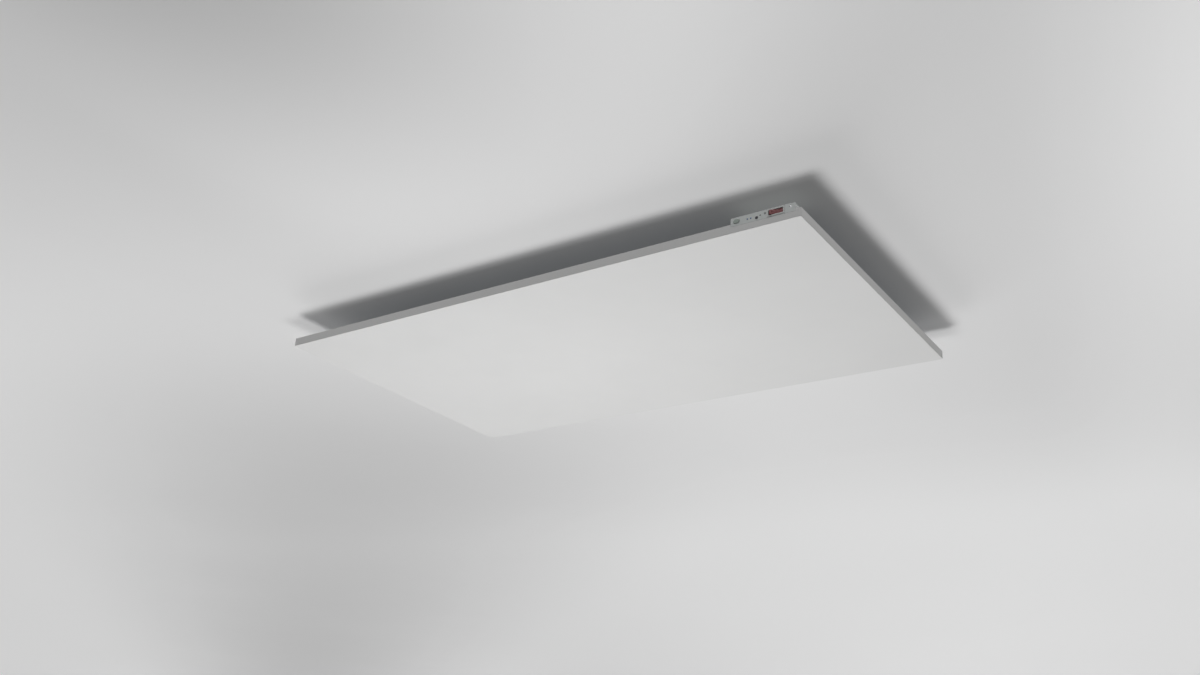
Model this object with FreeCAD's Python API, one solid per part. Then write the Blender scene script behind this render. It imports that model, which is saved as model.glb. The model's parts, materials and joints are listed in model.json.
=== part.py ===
"""Slim infrared panel heater that hangs under a ceiling on two rails.

Millimetres. The origin is the middle of the four ceiling screws, on the ceiling. X runs along the
panel's length, Y across it with the controls on the -Y side, and Z is up: the heating face looks down.
"""

import FreeCAD
import Part

import math
import os

V = FreeCAD.Vector
SAME = 1e-5

# ---- Panel: a folded front tray closed by a rear cover
PANEL_LENGTH = 1050.0
PANEL_WIDTH = 600.0
PANEL_DEPTH = 15.0
FRONT_SHEET = 0.8
CORNER_RADIUS = 3.0
FOLD_RADIUS = 0.7
COVER_SHEET = 0.6
COVER_PLAY = 0.3
BEAD_LENGTH = 620.0
BEAD_WIDTH = 14.0
BEAD_HEIGHT = 1.5
BEAD_ROUND = 1.0
BEAD_PITCH = 64.0
BEAD_COUNT = 3

# ---- Frame rails and corner blocks inside the folded walls
RAIL_WIDTH = 12.0
RAIL_SHEET = 1.0
FRAME_PLAY = 0.2
BLOCK_LEG = 50.0

# ---- Heating layers
FILM_THICKNESS = 0.6
FILM_MARGIN = 2.0
BUSBAR_WIDTH = 10.0
BUSBAR_THICKNESS = 0.3
BUSBAR_INSET = 1.0
INSULATION_GAP = 2.0
FOIL_THICKNESS = 0.2
COLD_MARGIN = 12.0
PAD_PLAY = 0.5
LUG_SIZE = 6.0

# ---- Leads and thermal limiters
LEAD_RADIUS = 0.9
LEAD_BEND = 3.0
LEAD_PLAY = 0.3
BOARD_LEAD_LANDING = 2.0
LIMITER_LENGTH = 20.0
LIMITER_WIDTH = 7.5
LIMITER_HEIGHT = 4.0
LIMITER_SPACING = 190.0
LIMITER_PIN = 1.2

# ---- Control housing at the near corner
HOUSING_LENGTH = 105.0
HOUSING_DEPTH = 62.0
HOUSING_HEADROOM = 0.9
HOUSING_RISE = 10.0
HOUSING_INSET = 9.0
HOUSING_WALL = 1.5
HOUSING_PLAY = 0.5
FASCIA_THICKNESS = 2.0
FASCIA_PLAY = 0.2
TOP_ROUND = 1.0
REAR_ROUND = 2.0
LID_THICKNESS = 1.5
EAR_SIZE = 10.0
EAR_THICKNESS = 1.5
LEFT_EAR_SETBACK = 43.0
REAR_EAR_FIRST = 44.0
REAR_EAR_SPACING = 48.0
SCREW_PILLAR = 9.5
SCREW_PILLAR_DEPTH = 8.0
LID_BOSS_RADIUS = 2.5
LID_BOSS_INSET = 2.0
LID_PILLAR_HOLE_INSET = 4.0
FASCIA_TAB_LENGTH = 5.0
FASCIA_TAB_HEIGHT = 6.0

# ---- Places of the controls, from the fascia's +X end and above its middle line
ROCKER_AT = 30.8
BUTTON_AT = 95.3
BUTTON_RISE = 0.4
GREY_LENS_AT = 48.4
GREY_LENS_RISE = 1.4
GREY_LENS_RADIUS = 1.6
CLEAR_LENS_AT = 56.0
CLEAR_LENS_RISE = 0.4
CLEAR_LENS_RADIUS = 1.0
INFRARED_LENS_AT = 62.1
INFRARED_LENS_RISE = -2.2
INFRARED_LENS_RADIUS = 2.3
BLUE_LENS_AT = 71.5
BLUE_LENS_SPACING = 5.8
BLUE_LENS_RISE = -0.6
BLUE_LENS_RADIUS = 1.1
LENS_PROUD = 0.3
INFRARED_LENS_PROUD = 1.0
LENS_CROWN = 0.8
LENS_PLAY = 0.1
FASCIA_SCREW_AT = 7.5
FASCIA_SCREW_RISE = 2.0

# ---- Mains rocker switch
ROCKER_LENGTH = 23.0
ROCKER_HEIGHT = 7.6
ROCKER_FACE_ANGLE = 8.0
ROCKER_THROW = 11.0
ROCKER_RECESS = 0.4
ROCKER_PLAY = 0.3
ROCKER_EDGE = 0.4
PIVOT_DEPTH = 4.0
PIVOT_RADIUS = 1.0
PIVOT_PLAY = 0.05
PIVOT_WALL = 1.4
ROCKER_HEEL = 1.0
SWITCH_WALL = 1.2
SWITCH_DEPTH = 14.0
SWITCH_FLOOR = 4.5
BEZEL_LIP = 1.0
BEZEL_THICKNESS = 0.8
SWITCH_PLAY = 0.1
BLADE_WIDTH = 4.8
BLADE_THICKNESS = 0.8
BLADE_LENGTH = 5.0
BLADE_SPACING = 12.0

# ---- Oval push button with its plunger and tact switch
BUTTON_LENGTH = 9.8
BUTTON_HEIGHT = 6.4
BUTTON_PROUD = 1.2
BUTTON_TRAVEL = 0.8
BUTTON_PLAY = 0.3
BUTTON_FLANGE = 1.0
BUTTON_EDGE = 0.4
BUTTON_STEM_RADIUS = 1.5
PLUNGER_RADIUS = 1.6
PLUNGER_PLAY = 0.08
PLUNGER_PROUD = BUTTON_TRAVEL + BUTTON_PLAY
PLUNGER_SEAT = 1.4
TACT_SIZE = 6.2
TACT_DEPTH = 3.2
TACT_BACK = 0.8

# ---- Circuit boards and what they carry
BOARD_THICKNESS = 1.6
DISPLAY_SETBACK = 7.5
DISPLAY_BOARD_LENGTH = 55.5
DISPLAY_BOARD_INSET = 3.5
BOARD_PLAY = 0.3
POWER_BOARD_LENGTH = 78.0
POWER_BOARD_DEPTH = 33.0
POWER_BOARD_INSET = 5.0
POWER_BOARD_SETBACK = 15.0
BOARD_BOSS_HEIGHT = 1.5
BOARD_BOSS_RADIUS = 2.0
BOARD_BOSS_INSET = 3.0
RELAY_LENGTH = 28.0
RELAY_WIDTH = 15.0
RELAY_HEIGHT = 5.0
MODULE_LENGTH = 24.0
MODULE_WIDTH = 16.0
MODULE_HEIGHT = 7.0
CAPACITOR_RADIUS = 3.1
CAPACITOR_HEIGHT = 7.0
FUSE_RADIUS = 4.2
FUSE_HEIGHT = 6.5
HEADER_LENGTH = 12.7
HEADER_HEIGHT = 2.5
HEADER_OVERLAP = 3.0
PART_GAP = 3.0
TERMINAL_WIDTH = 12.0
TERMINAL_PITCH = 8.5
TERMINAL_HEIGHT = 9.5
TERMINAL_SCREW_RADIUS = 1.9
TERMINAL_SCREW_DEPTH = 2.0
TERMINAL_POLES = 3

# ---- Supply inlet and earth point
BUSHING_AT = 86.0
BUSHING_BORE = 3.1
BUSHING_WALL = 0.5
BUSHING_FLANGE = 0.3
BUSHING_FLANGE_LENGTH = 1.5
BUSHING_SLEEVE = 4.5
BUSHING_CLEAR = 0.3
EARTH_GAP = 15.0
EARTH_SETBACK = 52.5
EARTH_STUD_RADIUS = 2.0
EARTH_STUD_HEIGHT = 9.0
EARTH_NUT_FLATS = 7.0
EARTH_NUT_HEIGHT = 3.2
EARTH_RING_RADIUS = 4.0
EARTH_RING_THICKNESS = 0.8
EARTH_BARREL_LENGTH = 5.0
EARTH_BARREL_RADIUS = 1.8
EARTH_LEAD_RADIUS = 1.1
THREAD_PLAY = 0.05

# ---- Screws and rivets
SCREW_RADIUS = 1.45
SCREW_HEAD_RADIUS = 2.8
SCREW_HEAD_HEIGHT = 1.6
RECESS_DEPTH = 0.9
RECESS_REACH = 0.6
RECESS_WIDTH = 0.25
COVER_SCREW_LENGTH = 6.0
COVER_SCREW_PITCH = 220.0
COVER_SCREW_END = 85.0
HOUSING_SCREW_LENGTH = 4.0
SMALL_SCREW_RADIUS = 1.1
SMALL_HEAD_RADIUS = 2.0
SMALL_HEAD_HEIGHT = 0.9
SMALL_SCREW_LENGTH = 8.0
FASCIA_HEAD_RADIUS = 1.9
HEAD_PLAY = 0.15
RIVET_RADIUS = 1.6
RIVET_HEAD_RADIUS = 3.2
RIVET_HEAD_HEIGHT = 1.2
RIVET_TAIL = 2.0
RIVET_TAIL_RADIUS = 2.1
RIVET_COUNT = 4

# ---- Suspension: ceiling rails with lips, and hanger rails that sit on them
CEILING_GAP = 35.0
CEILING_HOLES_X = 700.0
CEILING_HOLES_Y = 300.0
CEILING_HOLE_RADIUS = 2.75
CEILING_RAIL_LENGTH = 760.0
CEILING_RAIL_DROP = 24.0
HANGER_LENGTH = 500.0
BRACKET_SHEET = 1.5
BEND_RADIUS = 1.0
FLANGE_WIDTH = 25.0
LIP_WIDTH = 16.0
LIP_PLAY = 0.5
STRIP_THICKNESS = 1.0
JOIST_SPACING = 400.0
SLOT_LENGTH = 24.0
SLOT_RADIUS = 3.5

# ---- Levels and faces that follow from the sizes
Z_BACK = -CEILING_GAP
Z_FACE = Z_BACK - PANEL_DEPTH
Z_INSIDE = Z_FACE + FRONT_SHEET
Z_COVER = Z_BACK - COVER_SHEET
Z_FILM = Z_INSIDE + FILM_THICKNESS
Z_BUSBAR = Z_FILM + BUSBAR_THICKNESS
Z_FOIL = Z_COVER - FOIL_THICKNESS
Z_LEAD = Z_FILM + LIMITER_HEIGHT / 2
X_END = PANEL_LENGTH / 2
Y_END = PANEL_WIDTH / 2
X_WALL = X_END - FRONT_SHEET
Y_WALL = Y_END - FRONT_SHEET
RAIL_END = CORNER_RADIUS - FRONT_SHEET + COVER_PLAY
X_FRAME = X_WALL - RAIL_WIDTH
Y_FRAME = Y_WALL - RAIL_WIDTH
X_FILM = X_FRAME - FILM_MARGIN
Y_FILM = Y_FRAME - FILM_MARGIN
LEAD_CHANNEL = FILM_MARGIN + BUSBAR_INSET + BUSBAR_WIDTH + INSULATION_GAP
X_CHANNEL = X_FRAME - LEAD_CHANNEL / 2
Y_BUSBAR = Y_FILM - BUSBAR_INSET - BUSBAR_WIDTH / 2

BOARD_STACK = BOARD_BOSS_HEIGHT + BOARD_THICKNESS + MODULE_HEIGHT
HOUSING_HEIGHT = HOUSING_WALL + BOARD_STACK + HOUSING_HEADROOM + LID_THICKNESS
HOUSING_X = (X_END - HOUSING_INSET - HOUSING_LENGTH, X_END - HOUSING_INSET)
HOUSING_Y = (-Y_END + FASCIA_THICKNESS, -Y_END + FASCIA_THICKNESS + HOUSING_DEPTH)
HOUSING_Z = (Z_BACK + HOUSING_RISE - HOUSING_HEIGHT, Z_BACK + HOUSING_RISE)
Z_TUB_FLOOR = HOUSING_Z[0] + HOUSING_WALL
Z_LID = HOUSING_Z[1] - LID_THICKNESS
Z_CONTROLS = (HOUSING_Z[0] + HOUSING_Z[1]) / 2
Y_BOARD_FRONT = HOUSING_Y[0] + DISPLAY_SETBACK
Y_BOARD_BACK = Y_BOARD_FRONT + BOARD_THICKNESS
Z_POWER_BOARD = Z_TUB_FLOOR + BOARD_BOSS_HEIGHT
Z_PARTS = Z_POWER_BOARD + BOARD_THICKNESS
COLD_X = HOUSING_X[0] - COLD_MARGIN
COLD_Y = HOUSING_Y[1] + COLD_MARGIN
X_LUG = COLD_X - LUG_SIZE
Y_PIVOT = -Y_END + PIVOT_DEPTH
X_PIVOT = HOUSING_X[1] - ROCKER_AT


# ---- Helpers


def span(middle, size):
    """The two ends of a size centred on a place."""
    return (middle - size / 2, middle + size / 2)


def grown(ends, by):
    """A span made longer at both ends."""
    return (ends[0] - by, ends[1] + by)


def block(x, y, z):
    """A box between pairs of X, Y and Z."""
    return Part.makeBox(x[1] - x[0], y[1] - y[0], z[1] - z[0], V(x[0], y[0], z[0]))


def rod(radius, start, end):
    """A cylinder from one point to another."""
    return Part.makeCylinder(radius, (end - start).Length, start, end - start)


def edges_along_z(shape):
    """The straight upright edges of a shape."""
    return [e for e in shape.Edges if abs(e.BoundBox.ZLength - e.Length) < SAME]


def edges_at_z(shape, z):
    """The edges that lie in one level plane."""
    return [e for e in shape.Edges if abs(e.BoundBox.ZMin - z) + abs(e.BoundBox.ZMax - z) < SAME]


def edges_at_y(shape, y):
    """The edges that lie in one plane across Y."""
    return [e for e in shape.Edges if abs(e.BoundBox.YMin - y) + abs(e.BoundBox.YMax - y) < SAME]


def bent(shape, inner, outer):
    """A folded sheet with its two bends along X rounded. Each bend is a place in Y and Z."""
    for places, radius in ((inner, BEND_RADIUS), (outer, BEND_RADIUS + BRACKET_SHEET)):
        edges = [e for y, z in places for e in edges_at_y(shape, y) if abs(e.BoundBox.Center.z - z) < SAME]
        shape = shape.makeFillet(radius, edges)
    return shape


def joined(shapes):
    """Touching or overlapping shapes as one solid."""
    return shapes[0].fuse(shapes[1:]).removeSplitter()


def oval(length, height, x, z, y):
    """A slab with round ends, seen along Y."""
    reach = (length - height) / 2
    ends = [rod(height / 2, V(x + s * reach, y[0], z), V(x + s * reach, y[1], z)) for s in (-1, 1)]
    return joined([block(span(x, 2 * reach), y, span(z, height)), *ends])


def slot(length, radius, x, y, z):
    """A slot with round ends along X, seen along Z."""
    reach = length / 2 - radius
    ends = [rod(radius, V(x + s * reach, y, z[0]), V(x + s * reach, y, z[1])) for s in (-1, 1)]
    return joined([block(span(x, 2 * reach), span(y, 2 * radius), z), *ends])


def tube(points, radius, bend):
    """A round lead along straight runs with an arc at each corner."""
    edges, at = [], points[0]
    for corner, after in zip(points[1:-1], points[2:]):
        back = (at - corner).normalize()
        on = (after - corner).normalize()
        half = back.getAngle(on) / 2
        reach = bend / math.tan(half)
        middle = corner + (back + on).normalize() * (bend / math.sin(half) - bend)
        enter, leave = corner + back * reach, corner + on * reach
        edges += [Part.LineSegment(at, enter).toShape(), Part.Arc(enter, middle, leave).toShape()]
        at = leave
    edges.append(Part.LineSegment(at, points[-1]).toShape())
    ring = Part.Wire([Part.makeCircle(radius, points[0], points[1] - points[0])])
    return Part.Wire(edges).makePipeShell([ring], True, False)


def screw(seat, head_radius, head_height, shank_radius, length):
    """A screw pointing down, with a cross recess in its head. The seat is under the head."""
    shank = rod(shank_radius, seat - V(0, 0, length), seat)
    head = rod(head_radius, seat, seat + V(0, 0, head_height))
    bit, reach = head_radius * RECESS_WIDTH, head_radius * RECESS_REACH
    depth = (seat.z + head_height * (1 - RECESS_DEPTH), seat.z + head_height)
    cross = [
        block(span(seat.x, 2 * reach), span(seat.y, bit), depth),
        block(span(seat.x, bit), span(seat.y, 2 * reach), depth),
    ]
    return joined([shank, head]).cut(cross)


def housing_pocket():
    """The space that the control housing takes in the panel, with its play."""
    above = (HOUSING_Z[0] - HOUSING_PLAY, HOUSING_Z[1] + HOUSING_PLAY)
    across = (-Y_END - HOUSING_PLAY, HOUSING_Y[1] + HOUSING_PLAY)
    return block(grown(HOUSING_X, HOUSING_PLAY), across, above)


def cold_corner(margin):
    """The corner under the housing that stays free of the heating layers."""
    return block((COLD_X - margin, X_END), (-Y_END, COLD_Y + margin), (Z_FACE, Z_BACK))


# ---- Panel shell


def front_panel():
    outer = block((-X_END, X_END), (-Y_END, Y_END), (Z_FACE, Z_BACK))
    outer = outer.makeFillet(CORNER_RADIUS, edges_along_z(outer))
    outer = outer.makeFillet(FOLD_RADIUS, edges_at_z(outer, Z_FACE))
    inner = block((-X_WALL, X_WALL), (-Y_WALL, Y_WALL), (Z_INSIDE, Z_BACK + FRONT_SHEET))
    inner = inner.makeFillet(CORNER_RADIUS - FRONT_SHEET, edges_along_z(inner))
    notch_z = (HOUSING_Z[0] - FASCIA_PLAY, HOUSING_Z[1])
    notch = block(grown(HOUSING_X, FASCIA_PLAY), (-Y_END - FRONT_SHEET, -Y_FRAME), notch_z)
    return outer.cut([inner, notch])


def bead(y):
    """One pressed stiffening bead of the rear cover: what it adds, and its hollow below."""
    top = Z_BACK + BEAD_HEIGHT
    proud = slot(BEAD_LENGTH, BEAD_WIDTH / 2, 0, y, (Z_BACK, top))
    proud = proud.makeFillet(BEAD_ROUND, edges_at_z(proud, top))
    ceiling = top - COVER_SHEET
    hollow = slot(BEAD_LENGTH - 2 * COVER_SHEET, BEAD_WIDTH / 2 - COVER_SHEET, 0, y, (Z_COVER, ceiling))
    return proud, hollow.makeFillet(BEAD_ROUND - COVER_SHEET, edges_at_z(hollow, ceiling))


def rear_cover():
    sheet = block(span(0, 2 * (X_WALL - COVER_PLAY)), span(0, 2 * (Y_WALL - COVER_PLAY)), (Z_COVER, Z_BACK))
    sheet = sheet.makeFillet(CORNER_RADIUS - FRONT_SHEET, edges_along_z(sheet))
    middle = (BEAD_COUNT - 1) / 2
    beads = [bead((i - middle) * BEAD_PITCH + bead_line()) for i in range(BEAD_COUNT)]
    sheet = joined([sheet, *[proud for proud, _ in beads]])
    holes = [rod(SCREW_RADIUS + HEAD_PLAY, p - V(0, 0, BRACKET_SHEET), p + V(0, 0, 1))
             for p in cover_screw_seats() + housing_ear_points()]
    rivets = [rod(RIVET_RADIUS, p - V(0, 0, BRACKET_SHEET), p + V(0, 0, 1)) for p in rivet_points()]
    return sheet.cut([housing_pocket(), *[hollow for _, hollow in beads], *holes, *rivets])


def bead_line():
    """The line midway between the two hanger rails' feet."""
    return -(LIP_WIDTH + LIP_PLAY + FLANGE_WIDTH / 2)


def cover_screw_seats():
    """Where the cover screws sit: along all four rails, clear of the control housing."""
    x_reach = X_END - COVER_SCREW_END
    y_reach = Y_END - COVER_SCREW_END
    seats = []
    for reach, across, long_side in ((x_reach, Y_WALL - RAIL_WIDTH / 2, True),
                                     (y_reach, X_WALL - RAIL_WIDTH / 2, False)):
        count = 1 + math.ceil(2 * reach / COVER_SCREW_PITCH)
        for i in range(count):
            along = -reach + 2 * reach * i / (count - 1)
            for side in (-across, across):
                seats.append(V(along, side, Z_BACK) if long_side else V(side, along, Z_BACK))
    keep_off = SCREW_HEAD_RADIUS + HOUSING_PLAY
    in_x = grown(HOUSING_X, keep_off)
    in_y = grown(HOUSING_Y, keep_off)
    return [p for p in seats if not (in_x[0] < p.x < in_x[1] and in_y[0] - RAIL_WIDTH < p.y < in_y[1])]


def cover_screws():
    size = (SCREW_HEAD_RADIUS, SCREW_HEAD_HEIGHT, SCREW_RADIUS, COVER_SCREW_LENGTH)
    return [screw(p, *size) for p in cover_screw_seats()]


# ---- Frame inside the walls


def pilot_holes():
    """Thread holes for the cover screws, through the rails and blocks below the cover."""
    radius = SCREW_RADIUS + THREAD_PLAY
    deep = V(0, 0, COVER_SCREW_LENGTH + THREAD_PLAY)
    return [rod(radius, p - deep, p) for p in cover_screw_seats()]


def frame_rail(along_x, side):
    """A C-shaped rail with its open side to the panel's middle."""
    z = (Z_INSIDE, Z_COVER)
    inner_z = grown(z, -RAIL_SHEET)
    if along_x:
        x = (-X_WALL + RAIL_END, X_WALL - RAIL_END)
        outer = block(x, (-Y_WALL, -Y_FRAME), z)
        hollow = block(grown(x, 1), (-Y_WALL + RAIL_SHEET, -Y_FRAME + 1), inner_z)
    else:
        y = (-Y_FRAME + FRAME_PLAY, Y_FRAME - FRAME_PLAY)
        outer = block((-X_WALL, -X_FRAME), y, z)
        hollow = block((-X_WALL + RAIL_SHEET, -X_FRAME + 1), grown(y, 1), inner_z)
    rail = outer.cut(hollow)
    if side > 0:
        rail = rail.mirror(V(0, 0, 0), V(0, 1, 0) if along_x else V(1, 0, 0))
    return rail.cut([housing_pocket(), *pilot_holes()])


def corner_block(x_side, y_side):
    """An L-shaped block that fills the ends of two rails and joins them."""
    z = (Z_INSIDE + RAIL_SHEET, Z_COVER - RAIL_SHEET - FRAME_PLAY)
    x_out = X_WALL - RAIL_END
    y_out = Y_WALL - RAIL_SHEET - FRAME_PLAY
    long_leg = block((x_out - BLOCK_LEG, x_out), (Y_FRAME, y_out), z)
    short_leg = block((X_FRAME, x_out), (Y_FRAME - BLOCK_LEG, Y_FRAME), z)
    shape = joined([long_leg, short_leg])
    if x_side < 0:
        shape = shape.mirror(V(0, 0, 0), V(1, 0, 0))
    if y_side < 0:
        shape = shape.mirror(V(0, 0, 0), V(0, 1, 0))
    return shape.cut([housing_pocket(), *pilot_holes()])


# ---- Heating layers


def heating_film():
    film = block((-X_FILM, X_FILM), (-Y_FILM, Y_FILM), (Z_INSIDE, Z_FILM))
    return film.cut(cold_corner(0))


def busbar(side):
    """A copper strip along one long edge of the film."""
    right = COLD_X - BUSBAR_INSET if side < 0 else X_FILM - BUSBAR_INSET
    return block((-X_FILM + BUSBAR_INSET, right), span(side * Y_BUSBAR, BUSBAR_WIDTH), (Z_FILM, Z_BUSBAR))


def solder_lugs():
    """The two blocks that take the leads off the busbars."""
    z = (Z_BUSBAR, Z_LEAD + 2 * LEAD_RADIUS)
    return [
        block(span(X_LUG, LUG_SIZE), span(-Y_BUSBAR, LUG_SIZE), z),
        block(span(X_CHANNEL, LUG_SIZE), span(Y_BUSBAR, LUG_SIZE), z),
    ]


def insulation_outline(z):
    """The layers above the film: inside the lead channels and off the cold corner."""
    x, y = X_FRAME - LEAD_CHANNEL, Y_FRAME - LEAD_CHANNEL
    return block((-x, x), (-y, y), z).cut(cold_corner(PAD_PLAY))


def rivet_tail_spaces():
    tail = V(0, 0, COVER_SHEET + RIVET_TAIL + THREAD_PLAY)
    return [rod(RIVET_TAIL_RADIUS + HEAD_PLAY, p - tail, p) for p in rivet_points()]


def insulation_board():
    return insulation_outline((Z_FILM, Z_FOIL)).cut(rivet_tail_spaces())


def reflector_foil():
    return insulation_outline((Z_FOIL, Z_COVER)).cut(rivet_tail_spaces())


def corner_insulation():
    """A pad between the heating face and the control housing, with grooves for the leads."""
    x = (COLD_X + PAD_PLAY, X_FILM)
    y = (-Y_FILM, COLD_Y - PAD_PLAY)
    grooves = [tube(path, LEAD_RADIUS + LEAD_PLAY, LEAD_BEND) for path in box_lead_paths()]
    return block(x, y, (Z_INSIDE, HOUSING_Z[0])).cut(grooves)


# ---- Leads and limiters


def limiter_middles():
    """Where the two limiters sit along the right-hand lead channel, rear one first."""
    return [LIMITER_SPACING / 2, -LIMITER_SPACING / 2]


def terminal_line(pole):
    """Y of a pole of the terminal block: live is 0, earth 1 and neutral 2."""
    return -Y_BUSBAR + pole * TERMINAL_PITCH


def box_lead_paths():
    """The leads that come up through the housing's floor, live and neutral."""
    neutral = TERMINAL_POLES - 1
    rise = Z_TUB_FLOOR
    live_path = [
        V(X_LUG + LUG_SIZE / 2, terminal_line(0), Z_LEAD),
        V(X_CHANNEL, terminal_line(0), Z_LEAD),
        V(X_CHANNEL, terminal_line(0), rise),
    ]
    neutral_path = [
        V(X_CHANNEL, limiter_middles()[1] - LIMITER_LENGTH / 2, Z_LEAD),
        V(X_CHANNEL, terminal_line(neutral), Z_LEAD),
        V(X_CHANNEL, terminal_line(neutral), rise),
    ]
    return live_path, neutral_path


def live_lead():
    return tube(box_lead_paths()[0], LEAD_RADIUS, LEAD_BEND)


def neutral_lead():
    """Three lengths in series with the limiters."""
    rear, front = limiter_middles()
    half = LIMITER_LENGTH / 2
    runs = [(Y_BUSBAR - LUG_SIZE / 2, rear + half), (rear - half, front + half)]
    straight = [rod(LEAD_RADIUS, V(X_CHANNEL, a, Z_LEAD), V(X_CHANNEL, b, Z_LEAD)) for a, b in runs]
    return [*straight, tube(box_lead_paths()[1], LEAD_RADIUS, LEAD_BEND)]


def thermal_limiter(y):
    body = block(span(X_CHANNEL, LIMITER_WIDTH), span(y, LIMITER_LENGTH), (Z_FILM, Z_FILM + LIMITER_HEIGHT))
    return body.makeFillet(LIMITER_PIN, edges_along_z(body))


# ---- Control housing


def ear(x, y):
    return block(x, y, (Z_BACK, Z_BACK + EAR_THICKNESS))


def housing_ear_points():
    """Middles of the housing's three screw ears, on the rear cover."""
    left = V(HOUSING_X[0] - EAR_SIZE / 2, HOUSING_Y[0] + LEFT_EAR_SETBACK, Z_BACK)
    first = HOUSING_X[0] + REAR_EAR_FIRST
    rear_y = HOUSING_Y[1] + EAR_SIZE / 2
    return [left, V(first, rear_y, Z_BACK), V(first + REAR_EAR_SPACING, rear_y, Z_BACK)]


def lid_screw_points():
    """Heads of the three lid screws: both rear corners and the front pillar."""
    inset = HOUSING_WALL + LID_BOSS_INSET
    rear_y = HOUSING_Y[1] - inset
    pillar = V(HOUSING_X[1] - LID_PILLAR_HOLE_INSET, HOUSING_Y[0] + LID_PILLAR_HOLE_INSET, Z_LID)
    return [V(HOUSING_X[0] + inset, rear_y, Z_LID), V(HOUSING_X[1] - inset, rear_y, Z_LID), pillar]


def fascia_screw_seat():
    """Where the fascia screw's head sits, inside its recess."""
    z = Z_CONTROLS + FASCIA_SCREW_RISE
    return V(HOUSING_X[1] - FASCIA_SCREW_AT, -Y_END + SMALL_HEAD_HEIGHT + HEAD_PLAY, z)


def bushing_middle():
    """The supply inlet's axis, in the housing's rear wall, just clear of the rear cover."""
    rise = BUSHING_BORE + BUSHING_WALL + BUSHING_FLANGE + BUSHING_CLEAR
    return V(HOUSING_X[1] - BUSHING_AT, HOUSING_Y[1], Z_BACK + rise)


def rounded_rear(shape):
    """The housing's outline, with its two rear corners rounded."""
    rear = [e for e in edges_along_z(shape) if e.BoundBox.YMin > HOUSING_Y[0] + SAME]
    return shape.makeFillet(REAR_ROUND, rear)


def control_housing():
    outer = rounded_rear(block(HOUSING_X, HOUSING_Y, (HOUSING_Z[0], Z_LID)))
    inner_y = (HOUSING_Y[0] - HOUSING_WALL, HOUSING_Y[1] - HOUSING_WALL)
    inner = block(grown(HOUSING_X, -HOUSING_WALL), inner_y, (Z_TUB_FLOOR, Z_LID + HOUSING_WALL))
    tub = outer.cut(inner)
    left, *rears = housing_ear_points()
    ears = [ear(span(left.x, EAR_SIZE), span(left.y, EAR_SIZE))]
    ears += [ear(span(p.x, EAR_SIZE), span(p.y, EAR_SIZE)) for p in rears]
    up = (Z_TUB_FLOOR, Z_LID)
    pillar_x = (HOUSING_X[1] - HOUSING_WALL - SCREW_PILLAR, HOUSING_X[1] - HOUSING_WALL)
    pillar = block(pillar_x, (HOUSING_Y[0], HOUSING_Y[0] + SCREW_PILLAR_DEPTH), up)
    lid_points = lid_screw_points()
    bosses = [rod(LID_BOSS_RADIUS, V(p.x, p.y, up[0]), V(p.x, p.y, up[1])) for p in lid_points[:2]]
    feet = [rod(BOARD_BOSS_RADIUS, V(x, y, Z_TUB_FLOOR), V(x, y, Z_POWER_BOARD)) for x, y in board_feet()]
    tub = joined([tub, pillar, *ears, *bosses, *feet])
    pilot, deep = SMALL_SCREW_RADIUS + THREAD_PLAY, SMALL_SCREW_LENGTH + THREAD_PLAY
    lid_holes = [rod(pilot, p - V(0, 0, deep), p) for p in lid_points]
    seat = fascia_screw_seat()
    fascia_hole = rod(pilot, seat, seat + V(0, deep, 0))
    ear_holes = [rod(SCREW_RADIUS + HEAD_PLAY, p, p + V(0, 0, EAR_THICKNESS)) for p in housing_ear_points()]
    risers = [V(X_CHANNEL, terminal_line(pole), HOUSING_Z[0]) for pole in (0, TERMINAL_POLES - 1)]
    floor = [rod(LEAD_RADIUS + LEAD_PLAY, p, p + V(0, 0, HOUSING_WALL)) for p in risers]
    at = bushing_middle()
    inlet = rod(BUSHING_BORE + BUSHING_WALL, at - V(0, HOUSING_WALL, 0), at)
    lead = earth_lead_start()
    wall = V(HOUSING_X[0], lead.y, lead.z)
    earth = rod(EARTH_LEAD_RADIUS + LEAD_PLAY, wall, wall + V(HOUSING_WALL, 0, 0))
    return tub.cut([*lid_holes, fascia_hole, *ear_holes, *floor, inlet, earth])


def housing_lid():
    lid = rounded_rear(block(HOUSING_X, HOUSING_Y, (Z_LID, HOUSING_Z[1])))
    rim = [e for e in edges_at_z(lid, HOUSING_Z[1]) if e.BoundBox.YMax > HOUSING_Y[0] + SAME]
    lid = lid.makeFillet(TOP_ROUND, rim)
    holes = []
    for p in lid_screw_points():
        seat = V(p.x, p.y, HOUSING_Z[1] - SMALL_HEAD_HEIGHT)
        holes.append(rod(SMALL_SCREW_RADIUS + THREAD_PLAY, p, seat))
        holes.append(rod(SMALL_HEAD_RADIUS + HEAD_PLAY, seat, V(p.x, p.y, HOUSING_Z[1])))
    return lid.cut(holes)


def lid_screws():
    seats = [V(p.x, p.y, HOUSING_Z[1] - SMALL_HEAD_HEIGHT) for p in lid_screw_points()]
    size = (SMALL_HEAD_RADIUS, SMALL_HEAD_HEIGHT, SMALL_SCREW_RADIUS, SMALL_SCREW_LENGTH)
    return [screw(p, *size) for p in seats]


def housing_screws():
    seats = [p + V(0, 0, EAR_THICKNESS) for p in housing_ear_points()]
    size = (SCREW_HEAD_RADIUS, SCREW_HEAD_HEIGHT, SCREW_RADIUS, HOUSING_SCREW_LENGTH)
    return [screw(p, *size) for p in seats]


def fascia_screw():
    """The screw is made pointing down at the origin, then turned to point along +Y."""
    shape = screw(V(0, 0, 0), FASCIA_HEAD_RADIUS, SMALL_HEAD_HEIGHT, SMALL_SCREW_RADIUS, SMALL_SCREW_LENGTH)
    shape.rotate(V(0, 0, 0), V(1, 0, 0), 90)
    shape.translate(fascia_screw_seat())
    return shape


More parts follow.
